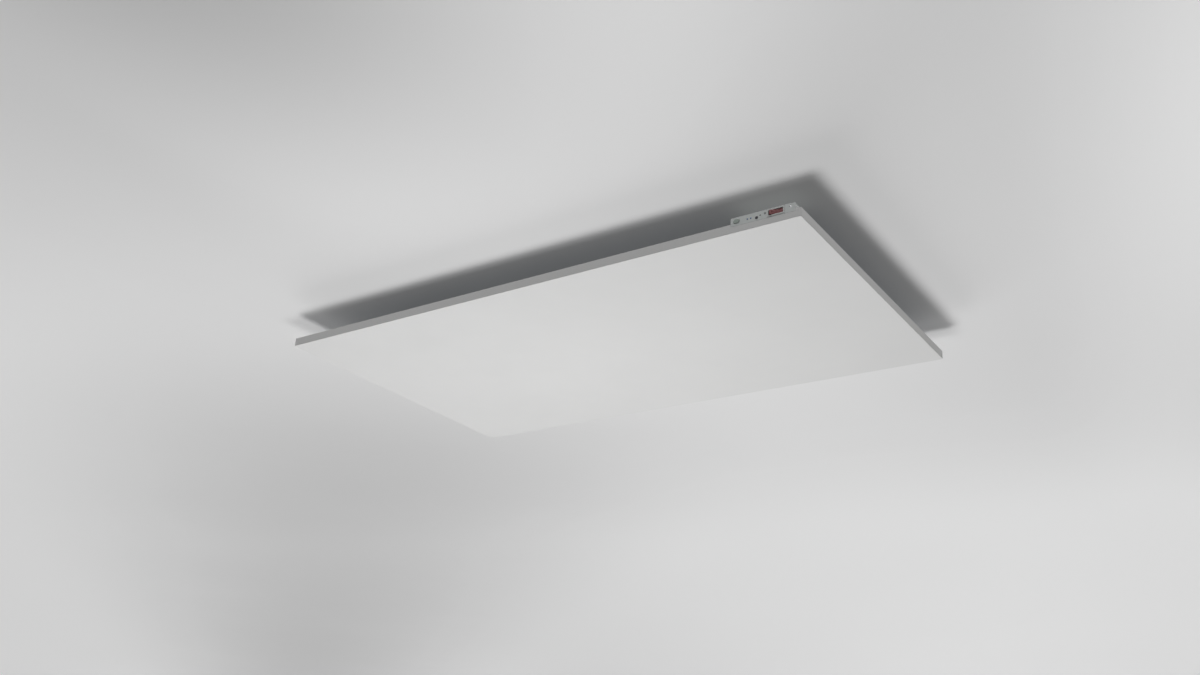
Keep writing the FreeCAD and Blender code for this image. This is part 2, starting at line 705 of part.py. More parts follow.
def lens_places():
    """X, Z, radius and how far proud each lens stands, by lens."""
    def place(at, rise, radius, proud):
        return (HOUSING_X[1] - at, Z_CONTROLS + rise, radius, proud)

    second_blue = BLUE_LENS_AT + BLUE_LENS_SPACING
    return {
        "grey": place(GREY_LENS_AT, GREY_LENS_RISE, GREY_LENS_RADIUS, LENS_PROUD),
        "clear": place(CLEAR_LENS_AT, CLEAR_LENS_RISE, CLEAR_LENS_RADIUS, LENS_PROUD),
        "infrared": place(INFRARED_LENS_AT, INFRARED_LENS_RISE, INFRARED_LENS_RADIUS, INFRARED_LENS_PROUD),
        "blue": place(BLUE_LENS_AT, BLUE_LENS_RISE, BLUE_LENS_RADIUS, LENS_PROUD),
        "second_blue": place(second_blue, BLUE_LENS_RISE, BLUE_LENS_RADIUS, LENS_PROUD),
    }


def fascia():
    through = (-Y_END - BEZEL_THICKNESS, HOUSING_Y[0] + BEZEL_THICKNESS)
    plate = block(HOUSING_X, (-Y_END, HOUSING_Y[0]), HOUSING_Z)
    top = [e for e in edges_at_z(plate, HOUSING_Z[1]) if e.BoundBox.XLength < SAME]
    plate = plate.makeFillet(TOP_ROUND, top)
    tab_x = HOUSING_X[0] + HOUSING_WALL + FASCIA_PLAY
    tab_y = (HOUSING_Y[0] - FASCIA_PLAY, HOUSING_Y[0] + FASCIA_TAB_LENGTH)
    tab = block((tab_x, tab_x + LID_THICKNESS / 2), tab_y, span(Z_CONTROLS, FASCIA_TAB_HEIGHT))
    holes = [block(grown(switch_x(), SWITCH_PLAY), through, grown(switch_z(), SWITCH_PLAY))]
    x, z = button_place()
    holes.append(oval(BUTTON_LENGTH + 2 * BUTTON_PLAY, BUTTON_HEIGHT + 2 * BUTTON_PLAY, x, z, through))
    for lens_x, lens_z, radius, _ in lens_places().values():
        holes.append(rod(radius + LENS_PLAY, V(lens_x, through[0], lens_z), V(lens_x, through[1], lens_z)))
    seat = fascia_screw_seat()
    holes.append(rod(SMALL_SCREW_RADIUS + THREAD_PLAY, seat, V(seat.x, through[1], seat.z)))
    holes.append(rod(FASCIA_HEAD_RADIUS + HEAD_PLAY, V(seat.x, through[0], seat.z), seat))
    return joined([plate, tab]).cut(holes)


# ---- Lenses


def lens(x, z, radius, proud):
    """A round light pipe from the display board to just proud of the fascia."""
    front = -Y_END - proud
    pipe = rod(radius, V(x, Y_BOARD_FRONT, z), V(x, front, z))
    return pipe.makeFillet(LENS_CROWN * proud, edges_at_y(pipe, front))


# ---- Rocker switch


def switch_x():
    return span(X_PIVOT, ROCKER_LENGTH + 2 * ROCKER_PLAY + 2 * SWITCH_WALL)


def switch_z():
    return span(Z_CONTROLS, ROCKER_HEIGHT + 2 * ROCKER_PLAY + 2 * SWITCH_WALL)


def switch_body():
    """The frame and box of the switch, open to the front, with holes for the pivot pin."""
    front = -Y_END - BEZEL_THICKNESS
    body = block(switch_x(), (-Y_END, -Y_END + SWITCH_DEPTH), switch_z())
    bezel = block(grown(switch_x(), BEZEL_LIP), (front, -Y_END), grown(switch_z(), BEZEL_LIP))
    bezel = bezel.makeFillet(BEZEL_THICKNESS / 2, edges_at_y(bezel, front))
    well_y = (front - 1, -Y_END + SWITCH_DEPTH - SWITCH_FLOOR)
    well = block(grown(switch_x(), -SWITCH_WALL), well_y, grown(switch_z(), -SWITCH_WALL))
    low, high = switch_z()
    pin_hole = rod(PIVOT_RADIUS, V(X_PIVOT, Y_PIVOT, low), V(X_PIVOT, Y_PIVOT, high))
    return joined([body, bezel]).cut([well, pin_hole])


def rocker_pin():
    low, high = switch_z()
    return rod(PIVOT_RADIUS, V(X_PIVOT, Y_PIVOT, low), V(X_PIVOT, Y_PIVOT, high))


def power_rocker():
    """A rocker with a shallow V face, at rest with its +X half pressed in."""
    reach = ROCKER_LENGTH / 2
    over = reach + ROCKER_HEEL
    middle = PIVOT_DEPTH - ROCKER_RECESS
    rise = over * math.tan(math.radians(ROCKER_FACE_ANGLE))
    hub = PIVOT_RADIUS + PIVOT_WALL
    # local outline: first along X from the pivot, then out of the fascia
    outline = [(-over, middle + rise), (0, middle), (over, middle + rise), (over, -ROCKER_HEEL),
               (hub, -hub), (-hub, -hub), (-over, -ROCKER_HEEL)]
    low, _ = span(Z_CONTROLS, ROCKER_HEIGHT)
    points = [V(X_PIVOT + u, Y_PIVOT - v, low) for u, v in outline]
    prism = Part.Face(Part.makePolygon([*points, points[0]])).extrude(V(0, 0, ROCKER_HEIGHT))
    pivot = V(X_PIVOT, Y_PIVOT, low)
    swept = Part.makeCylinder(reach, ROCKER_HEIGHT, pivot)
    shape = prism.common(swept)
    ends = [e for e in edges_along_z(shape) if e.BoundBox.YMax < -Y_END]
    ends = [e for e in ends if abs(e.BoundBox.XMin - X_PIVOT) > ROCKER_EDGE]
    shape = shape.makeFillet(ROCKER_EDGE, ends)
    bore = Part.makeCylinder(PIVOT_RADIUS + PIVOT_PLAY, ROCKER_HEIGHT, pivot)
    shape = shape.cut(bore)
    shape.rotate(pivot, V(0, 0, 1), ROCKER_THROW)
    return shape


def switch_blades():
    """Two flat terminals that stand out of the switch's back, on the power board."""
    y = (-Y_END + SWITCH_DEPTH, -Y_END + SWITCH_DEPTH + BLADE_LENGTH)
    z = (Z_PARTS, Z_PARTS + BLADE_THICKNESS)
    return [block(span(X_PIVOT + s * BLADE_SPACING / 2, BLADE_WIDTH), y, z) for s in (-1, 1)]


# ---- Push button


def button_place():
    """X and Z of the oval button's middle."""
    return HOUSING_X[1] - BUTTON_AT, Z_CONTROLS + BUTTON_RISE


def tact_front():
    return Y_BOARD_FRONT - TACT_DEPTH


def oval_button():
    x, z = button_place()
    front, back = -Y_END - BUTTON_PROUD, HOUSING_Y[0]
    cap = oval(BUTTON_LENGTH, BUTTON_HEIGHT, x, z, (front, back))
    cap = cap.makeFillet(BUTTON_EDGE, edges_at_y(cap, front))
    flange = oval(BUTTON_LENGTH + 2 * BUTTON_FLANGE, BUTTON_HEIGHT + 2 * BUTTON_FLANGE, x, z,
                  (back, back + BUTTON_FLANGE))
    stem = rod(BUTTON_STEM_RADIUS, V(x, back, z), V(x, tact_front() - PLUNGER_PROUD, z))
    return joined([cap, flange, stem])


def button_plunger():
    """The moving pin of the tact switch. The button's stem rests on it."""
    x, z = button_place()
    front = tact_front()
    return rod(PLUNGER_RADIUS, V(x, front - PLUNGER_PROUD, z), V(x, front + PLUNGER_SEAT, z))


def tact_switch():
    x, z = button_place()
    body = block(span(x, TACT_SIZE), (tact_front(), Y_BOARD_FRONT), span(z, TACT_SIZE))
    well = rod(PLUNGER_RADIUS + PLUNGER_PLAY, V(x, tact_front(), z), V(x, Y_BOARD_FRONT - TACT_BACK, z))
    return body.cut(well)


# ---- Boards


def display_board():
    """The upright board behind the fascia. It stands on the housing's floor."""
    left = HOUSING_X[0] + DISPLAY_BOARD_INSET
    z = (Z_TUB_FLOOR, Z_LID - BOARD_PLAY)
    return block((left, left + DISPLAY_BOARD_LENGTH), (Y_BOARD_FRONT, Y_BOARD_BACK), z)


def power_board_corner():
    """The power board's corner nearest the fascia's left end."""
    return HOUSING_X[0] + POWER_BOARD_INSET, HOUSING_Y[0] + POWER_BOARD_SETBACK


def board_feet():
    """Middles of the four bosses under the power board."""
    x0, y0 = power_board_corner()
    xs = (x0 + BOARD_BOSS_INSET, x0 + POWER_BOARD_LENGTH - BOARD_BOSS_INSET)
    ys = (y0 + BOARD_BOSS_INSET, y0 + POWER_BOARD_DEPTH - BOARD_BOSS_INSET)
    return [(x, y) for x in xs for y in ys]


def power_board():
    x0, y0 = power_board_corner()
    return block((x0, x0 + POWER_BOARD_LENGTH), (y0, y0 + POWER_BOARD_DEPTH), (Z_POWER_BOARD, Z_PARTS))


def board_header():
    """The plug-in strip between the two boards."""
    x0, y0 = power_board_corner()
    x = (x0 + PART_GAP, x0 + PART_GAP + HEADER_LENGTH)
    return block(x, (Y_BOARD_BACK, y0 + HEADER_OVERLAP), (Z_PARTS, Z_PARTS + HEADER_HEIGHT))


def power_module():
    x0, y0 = power_board_corner()
    rear = y0 + POWER_BOARD_DEPTH - PART_GAP
    left = x0 + PART_GAP
    z = (Z_PARTS, Z_PARTS + MODULE_HEIGHT)
    return block((left, left + MODULE_LENGTH), (rear - MODULE_WIDTH, rear), z)


def relay():
    x0, y0 = power_board_corner()
    rear = y0 + POWER_BOARD_DEPTH - PART_GAP
    left = x0 + MODULE_LENGTH + 2 * PART_GAP
    body = block((left, left + RELAY_LENGTH), (rear - RELAY_WIDTH, rear), (Z_PARTS, Z_PARTS + RELAY_HEIGHT))
    return body.makeFillet(TOP_ROUND / 2, edges_along_z(body))


def capacitor():
    x0, y0 = power_board_corner()
    right = x0 + POWER_BOARD_LENGTH - PART_GAP - CAPACITOR_RADIUS
    at = V(right, y0 + POWER_BOARD_DEPTH - PART_GAP - CAPACITOR_RADIUS, Z_PARTS)
    return rod(CAPACITOR_RADIUS, at, at + V(0, 0, CAPACITOR_HEIGHT))


def fuse():
    x0, y0 = power_board_corner()
    right = x0 + POWER_BOARD_LENGTH - PART_GAP - FUSE_RADIUS
    rear = y0 + POWER_BOARD_DEPTH - 2 * PART_GAP - 2 * CAPACITOR_RADIUS - FUSE_RADIUS
    at = V(right, rear, Z_PARTS)
    return rod(FUSE_RADIUS, at, at + V(0, 0, FUSE_HEIGHT))


def terminal_block():
    """A three-pole block over the lead holes, with a screw well in each pole."""
    y = (terminal_line(0) - TERMINAL_PITCH / 2, terminal_line(TERMINAL_POLES - 1) + TERMINAL_PITCH / 2)
    top = Z_TUB_FLOOR + TERMINAL_HEIGHT
    body = block(span(X_CHANNEL, TERMINAL_WIDTH), y, (Z_TUB_FLOOR, top))
    wells = [rod(TERMINAL_SCREW_RADIUS, V(X_CHANNEL, terminal_line(i), top - TERMINAL_SCREW_DEPTH),
                 V(X_CHANNEL, terminal_line(i), top)) for i in range(TERMINAL_POLES)]
    return body.cut(wells)


def board_leads():
    """Two short leads from the terminal block to the power board, live and neutral."""
    x0, _ = power_board_corner()
    left, right = x0 + POWER_BOARD_LENGTH - BOARD_LEAD_LANDING, X_CHANNEL - TERMINAL_WIDTH / 2
    z = Z_PARTS + LEAD_RADIUS
    poles = (terminal_line(0), terminal_line(TERMINAL_POLES - 1))
    return [rod(LEAD_RADIUS, V(left, y, z), V(right, y, z)) for y in poles]


# ---- Supply inlet and earth


def cable_bushing():
    """A flanged rubber sleeve in the housing's rear wall."""
    at = bushing_middle()
    neck = BUSHING_BORE + BUSHING_WALL
    inside = HOUSING_WALL + BUSHING_FLANGE_LENGTH
    body = [
        rod(neck + BUSHING_FLANGE, at - V(0, inside, 0), at - V(0, HOUSING_WALL, 0)),
        rod(neck, at - V(0, inside, 0), at + V(0, BUSHING_FLANGE_LENGTH + BUSHING_SLEEVE, 0)),
        rod(neck + BUSHING_FLANGE, at, at + V(0, BUSHING_FLANGE_LENGTH, 0)),
    ]
    bore = rod(BUSHING_BORE, at - V(0, 2 * inside, 0), at + V(0, 2 * BUSHING_SLEEVE, 0))
    return joined(body).cut(bore)


def earth_point():
    return V(HOUSING_X[0] - EARTH_GAP, HOUSING_Y[0] + EARTH_SETBACK, Z_BACK)


def earth_lead_start():
    """The crimp barrel's end, where the earth lead leaves the ring terminal."""
    reach = V(EARTH_RING_RADIUS + EARTH_RING_THICKNESS + EARTH_BARREL_LENGTH, 0, EARTH_BARREL_RADIUS)
    return earth_point() + reach


def earth_stud():
    return rod(EARTH_STUD_RADIUS, earth_point(), earth_point() + V(0, 0, EARTH_STUD_HEIGHT))


def earth_nut():
    at = earth_point() + V(0, 0, EARTH_RING_THICKNESS)
    radius = EARTH_NUT_FLATS / math.sqrt(3)
    angles = [math.radians(60 * i) for i in range(7)]
    corners = [at + V(radius * math.cos(a), radius * math.sin(a), 0) for a in angles]
    prism = Part.Face(Part.makePolygon(corners)).extrude(V(0, 0, EARTH_NUT_HEIGHT))
    return prism.cut(rod(EARTH_STUD_RADIUS + THREAD_PLAY, at, at + V(0, 0, EARTH_NUT_HEIGHT)))


def earth_terminal():
    """A ring under the nut with a crimp barrel to the side."""
    at, end = earth_point(), earth_lead_start()
    ring = rod(EARTH_RING_RADIUS, at, at + V(0, 0, EARTH_RING_THICKNESS))
    barrel = rod(EARTH_BARREL_RADIUS, end - V(EARTH_BARREL_LENGTH, 0, 0), end)
    tongue_x = (at.x, end.x - EARTH_BARREL_LENGTH + EARTH_RING_THICKNESS)
    tongue = block(tongue_x, span(at.y, 2 * EARTH_BARREL_RADIUS), (at.z, at.z + EARTH_RING_THICKNESS))
    hole = rod(EARTH_STUD_RADIUS + THREAD_PLAY, at, at + V(0, 0, EARTH_RING_THICKNESS))
    return joined([ring, tongue, barrel]).cut(hole)


def earth_lead():
    """From the ring terminal through the housing's wall to the middle pole."""
    start = earth_lead_start()
    rear = terminal_line(TERMINAL_POLES - 1) + TERMINAL_PITCH / 2
    path = [start, V(X_CHANNEL, start.y, start.z), V(X_CHANNEL, rear, start.z)]
    return tube(path, EARTH_LEAD_RADIUS, LEAD_BEND)


# ---- Suspension


def ceiling_rail_web(line):
    """Y of the two faces of a ceiling rail's upright web."""
    edge = line - FLANGE_WIDTH / 2
    return (edge, edge + BRACKET_SHEET)


def hanger_web(line):
    """Y of the two faces of a hanger rail's upright web."""
    tip = ceiling_rail_web(line)[0] - LIP_WIDTH - LIP_PLAY
    return (tip - BRACKET_SHEET, tip)


def ceiling_rail(line):
    """A Z-shaped rail: flange on the ceiling, web down, lip towards -Y."""
    web = ceiling_rail_web(line)
    x = span(0, CEILING_RAIL_LENGTH)
    rail = joined([
        block(x, span(line, FLANGE_WIDTH), (-BRACKET_SHEET, 0)),
        block(x, web, (-CEILING_RAIL_DROP, 0)),
        block(x, (web[0] - LIP_WIDTH, web[1]), (-CEILING_RAIL_DROP, -CEILING_RAIL_DROP + BRACKET_SHEET)),
    ])
    inner = [(web[1], -BRACKET_SHEET), (web[0], -CEILING_RAIL_DROP + BRACKET_SHEET)]
    outer = [(web[0], 0), (web[1], -CEILING_RAIL_DROP)]
    rail = bent(rail, inner, outer)
    cuts = []
    for s in (-1, 1):
        hole_x = s * CEILING_HOLES_X / 2
        cuts.append(rod(CEILING_HOLE_RADIUS, V(hole_x, line, -BRACKET_SHEET), V(hole_x, line, 0)))
        cuts.append(slot(SLOT_LENGTH, SLOT_RADIUS, s * JOIST_SPACING / 2, line, (-BRACKET_SHEET, 0)))
    return rail.cut(cuts)


def friction_strip(line):
    """A rubber strip bonded to the ceiling rail's lip, clear of both rails' bends."""
    web = ceiling_rail_web(line)
    low = -CEILING_RAIL_DROP + BRACKET_SHEET
    across = grown((web[0] - LIP_WIDTH, web[0]), -BEND_RADIUS)
    return block(span(0, HANGER_LENGTH), across, (low, low + STRIP_THICKNESS))


def hanger_rail(line):
    """A Z-shaped rail: foot on the rear cover, web up, lip towards +Y onto the ceiling rail's lip."""
    web = hanger_web(line)
    stop = ceiling_rail_web(line)[0]
    top = -CEILING_RAIL_DROP + BRACKET_SHEET + STRIP_THICKNESS + BRACKET_SHEET
    x = span(0, HANGER_LENGTH)
    rail = joined([
        block(x, (web[1] - FLANGE_WIDTH, web[1]), (Z_BACK, Z_BACK + BRACKET_SHEET)),
        block(x, web, (Z_BACK, top)),
        block(x, (web[0], stop), (top - BRACKET_SHEET, top)),
    ])
    inner = [(web[0], Z_BACK + BRACKET_SHEET), (web[1], top - BRACKET_SHEET)]
    outer = [(web[1], Z_BACK), (web[0], top)]
    rail = bent(rail, inner, outer)
    return rail.cut([rod(RIVET_RADIUS, p, p + V(0, 0, BRACKET_SHEET)) for p in rivet_points()])


def rivet_points():
    """Where the rivets cross the rear cover's outer face."""
    points = []
    pitch = HANGER_LENGTH / RIVET_COUNT
    for line in (-CEILING_HOLES_Y / 2, CEILING_HOLES_Y / 2):
        web = hanger_web(line)
        y = web[1] - FLANGE_WIDTH / 2
        points += [V((i - (RIVET_COUNT - 1) / 2) * pitch, y, Z_BACK) for i in range(RIVET_COUNT)]
    return points


def hanger_rivets():
    """Blind rivets through the hangers' feet and the rear cover, with their pulled tails below."""
    rivets = []
    for p in rivet_points():
        top = p + V(0, 0, BRACKET_SHEET)
        under = p - V(0, 0, COVER_SHEET)
        head = rod(RIVET_HEAD_RADIUS, top, top + V(0, 0, RIVET_HEAD_HEIGHT))
        shank = rod(RIVET_RADIUS, under, top)
        tail = rod(RIVET_TAIL_RADIUS, under - V(0, 0, RIVET_TAIL), under)
        rivets.append(joined([head, shank, tail]))
    return rivets


# ---- All nodes


def model():
    """Every node by name, as a shape or as a list of separate solids."""
    lenses = lens_places()
    front_line, rear_line = -CEILING_HOLES_Y / 2, CEILING_HOLES_Y / 2
    rear_limiter, front_limiter = limiter_middles()
    return {
        "ceiling_rail_front": ceiling_rail(front_line),
        "ceiling_rail_rear": ceiling_rail(rear_line),
        "friction_strip_front": friction_strip(front_line),
        "friction_strip_rear": friction_strip(rear_line),
        "hanger_rail_front": hanger_rail(front_line),
        "hanger_rail_rear": hanger_rail(rear_line),
        "hanger_rivets": hanger_rivets(),
        "front_panel": front_panel(),
        "rear_cover": rear_cover(),
        "cover_screws": cover_screws(),
        "frame_rail_front": frame_rail(True, -1),
        "frame_rail_rear": frame_rail(True, 1),
        "frame_rail_left": frame_rail(False, -1),
        "frame_rail_right": frame_rail(False, 1),
        "corner_block_front_left": corner_block(-1, -1),
        "corner_block_front_right": corner_block(1, -1),
        "corner_block_rear_left": corner_block(-1, 1),
        "corner_block_rear_right": corner_block(1, 1),
        "heating_film": heating_film(),
        "busbar_front": busbar(-1),
        "busbar_rear": busbar(1),
        "solder_lugs": solder_lugs(),
        "insulation_board": insulation_board(),
        "reflector_foil": reflector_foil(),
        "corner_insulation": corner_insulation(),
        "thermal_limiter_front": thermal_limiter(front_limiter),
        "thermal_limiter_rear": thermal_limiter(rear_limiter),
        "live_lead": live_lead(),
        "neutral_lead": neutral_lead(),
        "control_housing": control_housing(),
        "housing_lid": housing_lid(),
        "fascia": fascia(),
        "housing_screws": housing_screws(),
        "lid_screws": lid_screws(),
        "fascia_screw": fascia_screw(),
        "cable_bushing": cable_bushing(),
        "earth_stud": earth_stud(),
        "earth_nut": earth_nut(),
        "earth_terminal": earth_terminal(),
        "earth_lead": earth_lead(),
        "switch_body": switch_body(),
        "rocker_pin": rocker_pin(),
        "switch_blades": switch_blades(),
        "power_rocker": power_rocker(),
        "oval_button": oval_button(),
        "button_plunger": button_plunger(),
        "tact_switch": tact_switch(),
        "grey_lens": lens(*lenses["grey"]),
        "clear_lens": lens(*lenses["clear"]),
        "blue_lenses": [lens(*lenses["blue"]), lens(*lenses["second_blue"])],
        "infrared_lens": lens(*lenses["infrared"]),
        "display_board": display_board(),
        "power_board": power_board(),
        "board_header": board_header(),
        "relay": relay(),
        "power_module": power_module(),
        "capacitor": capacitor(),
        "fuse": fuse(),
        "terminal_block": terminal_block(),
        "board_leads": board_leads(),
    }


def main():
    os.makedirs("parts", exist_ok=True)
    for name, shape in model().items():
        solids = [s for part in (shape if isinstance(shape, list) else [shape]) for s in part.Solids]
        whole = solids[0] if len(solids) == 1 else Part.makeCompound(solids)
        whole.exportStep(f"parts/{name}.step")
        print(f"{name}: {len(solids)} solid, {whole.Volume:.0f} mm3, valid {whole.isValid()}")


main()
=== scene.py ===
"""Looks of a slim infrared panel heater that hangs under a ceiling.

Metres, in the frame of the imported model: the ceiling is the plane z = 0, X runs along the panel
and the controls are on the -Y side. The construction keeps its shapes and gets its finishes here.
Screws, rivets, the ribbed inlet bushing, the threaded earth stud and the rocker are modelled again
with the detail that they have close up, and a plain room stands round the heater.
"""

from __future__ import annotations

import json
import logging
import math
from collections.abc import Iterable, Sequence
from dataclasses import dataclass, field, fields
from enum import Enum

import bmesh
import bpy
from mathutils import Matrix, Vector

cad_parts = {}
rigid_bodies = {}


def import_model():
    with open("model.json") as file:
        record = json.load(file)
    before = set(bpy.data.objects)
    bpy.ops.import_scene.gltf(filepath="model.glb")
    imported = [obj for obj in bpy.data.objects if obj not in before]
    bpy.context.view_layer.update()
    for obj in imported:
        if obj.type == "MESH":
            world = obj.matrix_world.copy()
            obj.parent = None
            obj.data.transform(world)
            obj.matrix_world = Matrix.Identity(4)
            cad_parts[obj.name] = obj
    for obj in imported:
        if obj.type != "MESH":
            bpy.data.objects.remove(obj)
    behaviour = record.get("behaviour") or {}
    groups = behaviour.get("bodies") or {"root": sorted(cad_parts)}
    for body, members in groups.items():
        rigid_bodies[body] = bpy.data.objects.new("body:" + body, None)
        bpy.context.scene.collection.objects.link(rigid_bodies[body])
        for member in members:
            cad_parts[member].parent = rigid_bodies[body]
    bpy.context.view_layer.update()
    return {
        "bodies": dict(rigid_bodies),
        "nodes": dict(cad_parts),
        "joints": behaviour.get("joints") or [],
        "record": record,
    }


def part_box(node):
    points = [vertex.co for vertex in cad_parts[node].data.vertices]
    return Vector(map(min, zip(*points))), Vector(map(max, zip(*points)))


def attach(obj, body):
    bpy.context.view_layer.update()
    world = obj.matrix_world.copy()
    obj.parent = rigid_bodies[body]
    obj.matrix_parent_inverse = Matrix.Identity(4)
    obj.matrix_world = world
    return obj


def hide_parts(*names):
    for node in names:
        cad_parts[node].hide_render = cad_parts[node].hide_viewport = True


Socket = bpy.types.NodeSocket
Material = bpy.types.Material
Piece = bpy.types.Object
Colour = tuple[float, float, float]
Place = tuple[float, float, float]
MM = 0.001
WELD = 0.001 * MM
LOG = logging.getLogger("heater")


class Body(Enum):
    """The rigid bodies that modelled pieces ride on."""

    PANEL = "panel"
    ROCKER = "rocker"


class Facing(Enum):
    """The way a fastener's head looks, as turns about X, Y and Z from looking up."""

    UP = (0.0, 0.0, 0.0)
    CONTROL_SIDE = (math.pi / 2, 0.0, 0.0)


class Grain(Enum):
    """The stretch of a brushed or drawn metal's marks along X, Y and Z."""

    ALONG_X = (0.04, 1.0, 1.0)
    ALONG_Y = (1.0, 0.04, 1.0)
    NONE = (1.0, 1.0, 1.0)


# ---- Finishes


def tinted(colour: Colour, by: float) -> tuple[float, float, float, float]:
    """A colour made lighter or darker, capped at white, with alpha 1."""
    red, green, blue = (min(1.0, channel * by) for channel in colour)
    return red, green, blue, 1.0


class Wiring:
    """The nodes of a material, a light, the world or a geometry tree."""

    def __init__(self, tree: bpy.types.NodeTree) -> None:
        """Takes up the node tree that nodes are added to."""
        self.tree = tree

    def node(self, kind: str, inputs: dict[str | int, object] | None = None,
             **settings: object) -> bpy.types.Node:
        """Adds a node.

        Args:
            kind: The node's type name.
            inputs: What each input is fed, by its name or number.
            **settings: The node's own properties.

        Returns:
            The new node.
        """
        made = self.tree.nodes.new(kind)
        for key, value in settings.items():
            setattr(made, key, value)
        for key, value in (inputs or {}).items():
            self.feed(made.inputs[key], value)
        return made

    def feed(self, socket: Socket, value: object) -> None:
        """Links a socket to an input, or sets the input's own value.

        Args:
            socket: The input.
            value: An output socket, a list of them for a joining input, or a plain value.
        """
        for one in value if isinstance(value, list) else [value]:
            if isinstance(one, Socket):
                self.tree.links.new(one, socket)
            else:
                socket.default_value = one

    def math(self, operation: str, first: object, second: object = 0.0) -> Socket:
        """Works out a number from one or two numbers or sockets."""
        made = self.node("ShaderNodeMath", {0: first, 1: second}, operation=operation)
        return made.outputs["Value"]

    def direct(self) -> Socket:
        """1 for rays that have met no matt surface yet, 0 for the others."""
        depth = self.node("ShaderNodeLightPath").outputs["Diffuse Depth"]
        return self.math("LESS_THAN", depth, 0.5)


class Bench(Wiring):
    """A material that is being mixed. All its patterns read Object coordinates."""

    def __init__(self, name: str) -> None:
        """Starts an empty material.

        Args:
            name: The material's name.
        """
        self.material = bpy.data.materials.new(name)
        self.material.use_nodes = True
        super().__init__(self.material.node_tree)
        self.surface = self.tree.nodes["Principled BSDF"]
        self.place = self.node("ShaderNodeTexCoord").outputs["Object"]

    def dress(self, **values: object) -> Material:
        """Feeds the surface's inputs.

        Args:
            **values: A value or socket for each input, its name in lower case with underscores.

        Returns:
            The finished material.
        """
        names = {socket.name.lower().replace(" ", "_"): socket for socket in self.surface.inputs}
        for key, value in values.items():
            self.feed(names[key], value)
        return self.material

    def noise(self, size: float, detail: float = 2.0, stretch: Place = Grain.NONE.value) -> Socket:
        """Cloudy noise with lumps of a real size.

        Args:
            size: A lump's size.
            detail: How many finer layers are added.
            stretch: A factor on each axis, under 1 where lumps are longer.

        Returns:
            A value from 0 to 1.
        """
        inputs = {"Vector": self.place, "Scale": stretch}
        stretched = self.node("ShaderNodeMapping", inputs).outputs["Vector"]
        inputs = {"Vector": stretched, "Scale": 1.0 / size, "Detail": detail}
        return self.node("ShaderNodeTexNoise", inputs).outputs["Fac"]

    def warped(self, lump: float, by: float) -> Socket:
        """Object coordinates pushed about by noise, so that what reads them has uneven borders.

        Args:
            lump: The size of the noise's lumps.
            by: How far a point is pushed at most.

        Returns:
            The coordinates.
        """
        inputs = {"Vector": self.place, "Scale": 1.0 / lump}
        noise = self.node("ShaderNodeTexNoise", inputs).outputs["Color"]
        inputs = {0: noise, 1: (by, by, by), 2: self.place}
        return self.node("ShaderNodeVectorMath", inputs, operation="MULTIPLY_ADD").outputs["Vector"]

    def cells(self, size: float, place: Socket | None = None,
              distance: str = "EUCLIDEAN") -> bpy.types.Node:
        """The node of cells of a real size, such as zinc spangle, in any coordinates."""
        inputs = {"Vector": place or self.place, "Scale": 1.0 / size}
        return self.node("ShaderNodeTexVoronoi", inputs, distance=distance)

    def level(self, value: Socket, low: float, high: float,
              start: float = 0.3, end: float = 0.7) -> Socket:
        """Maps a value, so that the range start to end becomes the range low to high."""
        inputs = {"Value": value, "From Min": start, "From Max": end, "To Min": low, "To Max": high}
        return self.node("ShaderNodeMapRange", inputs).outputs["Result"]

    def shades(self, value: Socket, stops: Sequence[tuple[float, tuple]],
               sharp: bool = False) -> Socket:
        """Colours by a value.

        Args:
            value: What is coloured, from 0 to 1.
            stops: Places from 0 to 1 with their colours, in order.
            sharp: Whether each colour ends abruptly.

        Returns:
            The colour.
        """
        made = self.node("ShaderNodeValToRGB", {"Fac": value})
        ramp = made.color_ramp
        ramp.interpolation = "CONSTANT" if sharp else "LINEAR"
        while len(ramp.elements) < len(stops):
            ramp.elements.new(0.5)
        for element, (at, colour) in zip(ramp.elements, stops):
            element.position = at
            element.color = colour
        return made.outputs["Color"]

    def bands(self, axis: str, width: float, stops: Sequence[tuple[float, Colour]]) -> Socket:
        """Sharp bands of colour across an axis.

        Args:
            axis: X, Y or Z.
            width: The width after which the bands run backwards.
            stops: Places from 0 to 1 in that width with their colours, in order.

        Returns:
            The colour.
        """
        along = self.node("ShaderNodeSeparateXYZ", {"Vector": self.place}).outputs[axis]
        share = self.level(self.math("PINGPONG", along, width), 0.0, 1.0, 0.0, width)
        return self.shades(share, [(at, tinted(colour, 1.0)) for at, colour in stops], sharp=True)

    def mottled(self, colour: Colour, value: Socket, spread: float) -> Socket:
        """A colour that a value makes darker and lighter by up to a share."""
        stops = [(0.3, tinted(colour, 1.0 - spread)), (0.7, tinted(colour, 1.0 + spread))]
        return self.shades(value, stops)

    def bumps(self, *heights: tuple[Socket, float]) -> Socket:
        """A surface made uneven by one or more patterns.

        Args:
            *heights: Each pattern with its depth in metres.

        Returns:
            The normal.
        """
        normal: Socket | None = None
        for height, depth in heights:
            inputs = {"Height": height, "Distance": depth, "Strength": 1.0}
            if normal is not None:
                inputs["Normal"] = normal
            normal = self.node("ShaderNodeBump", inputs).outputs["Normal"]
        return normal


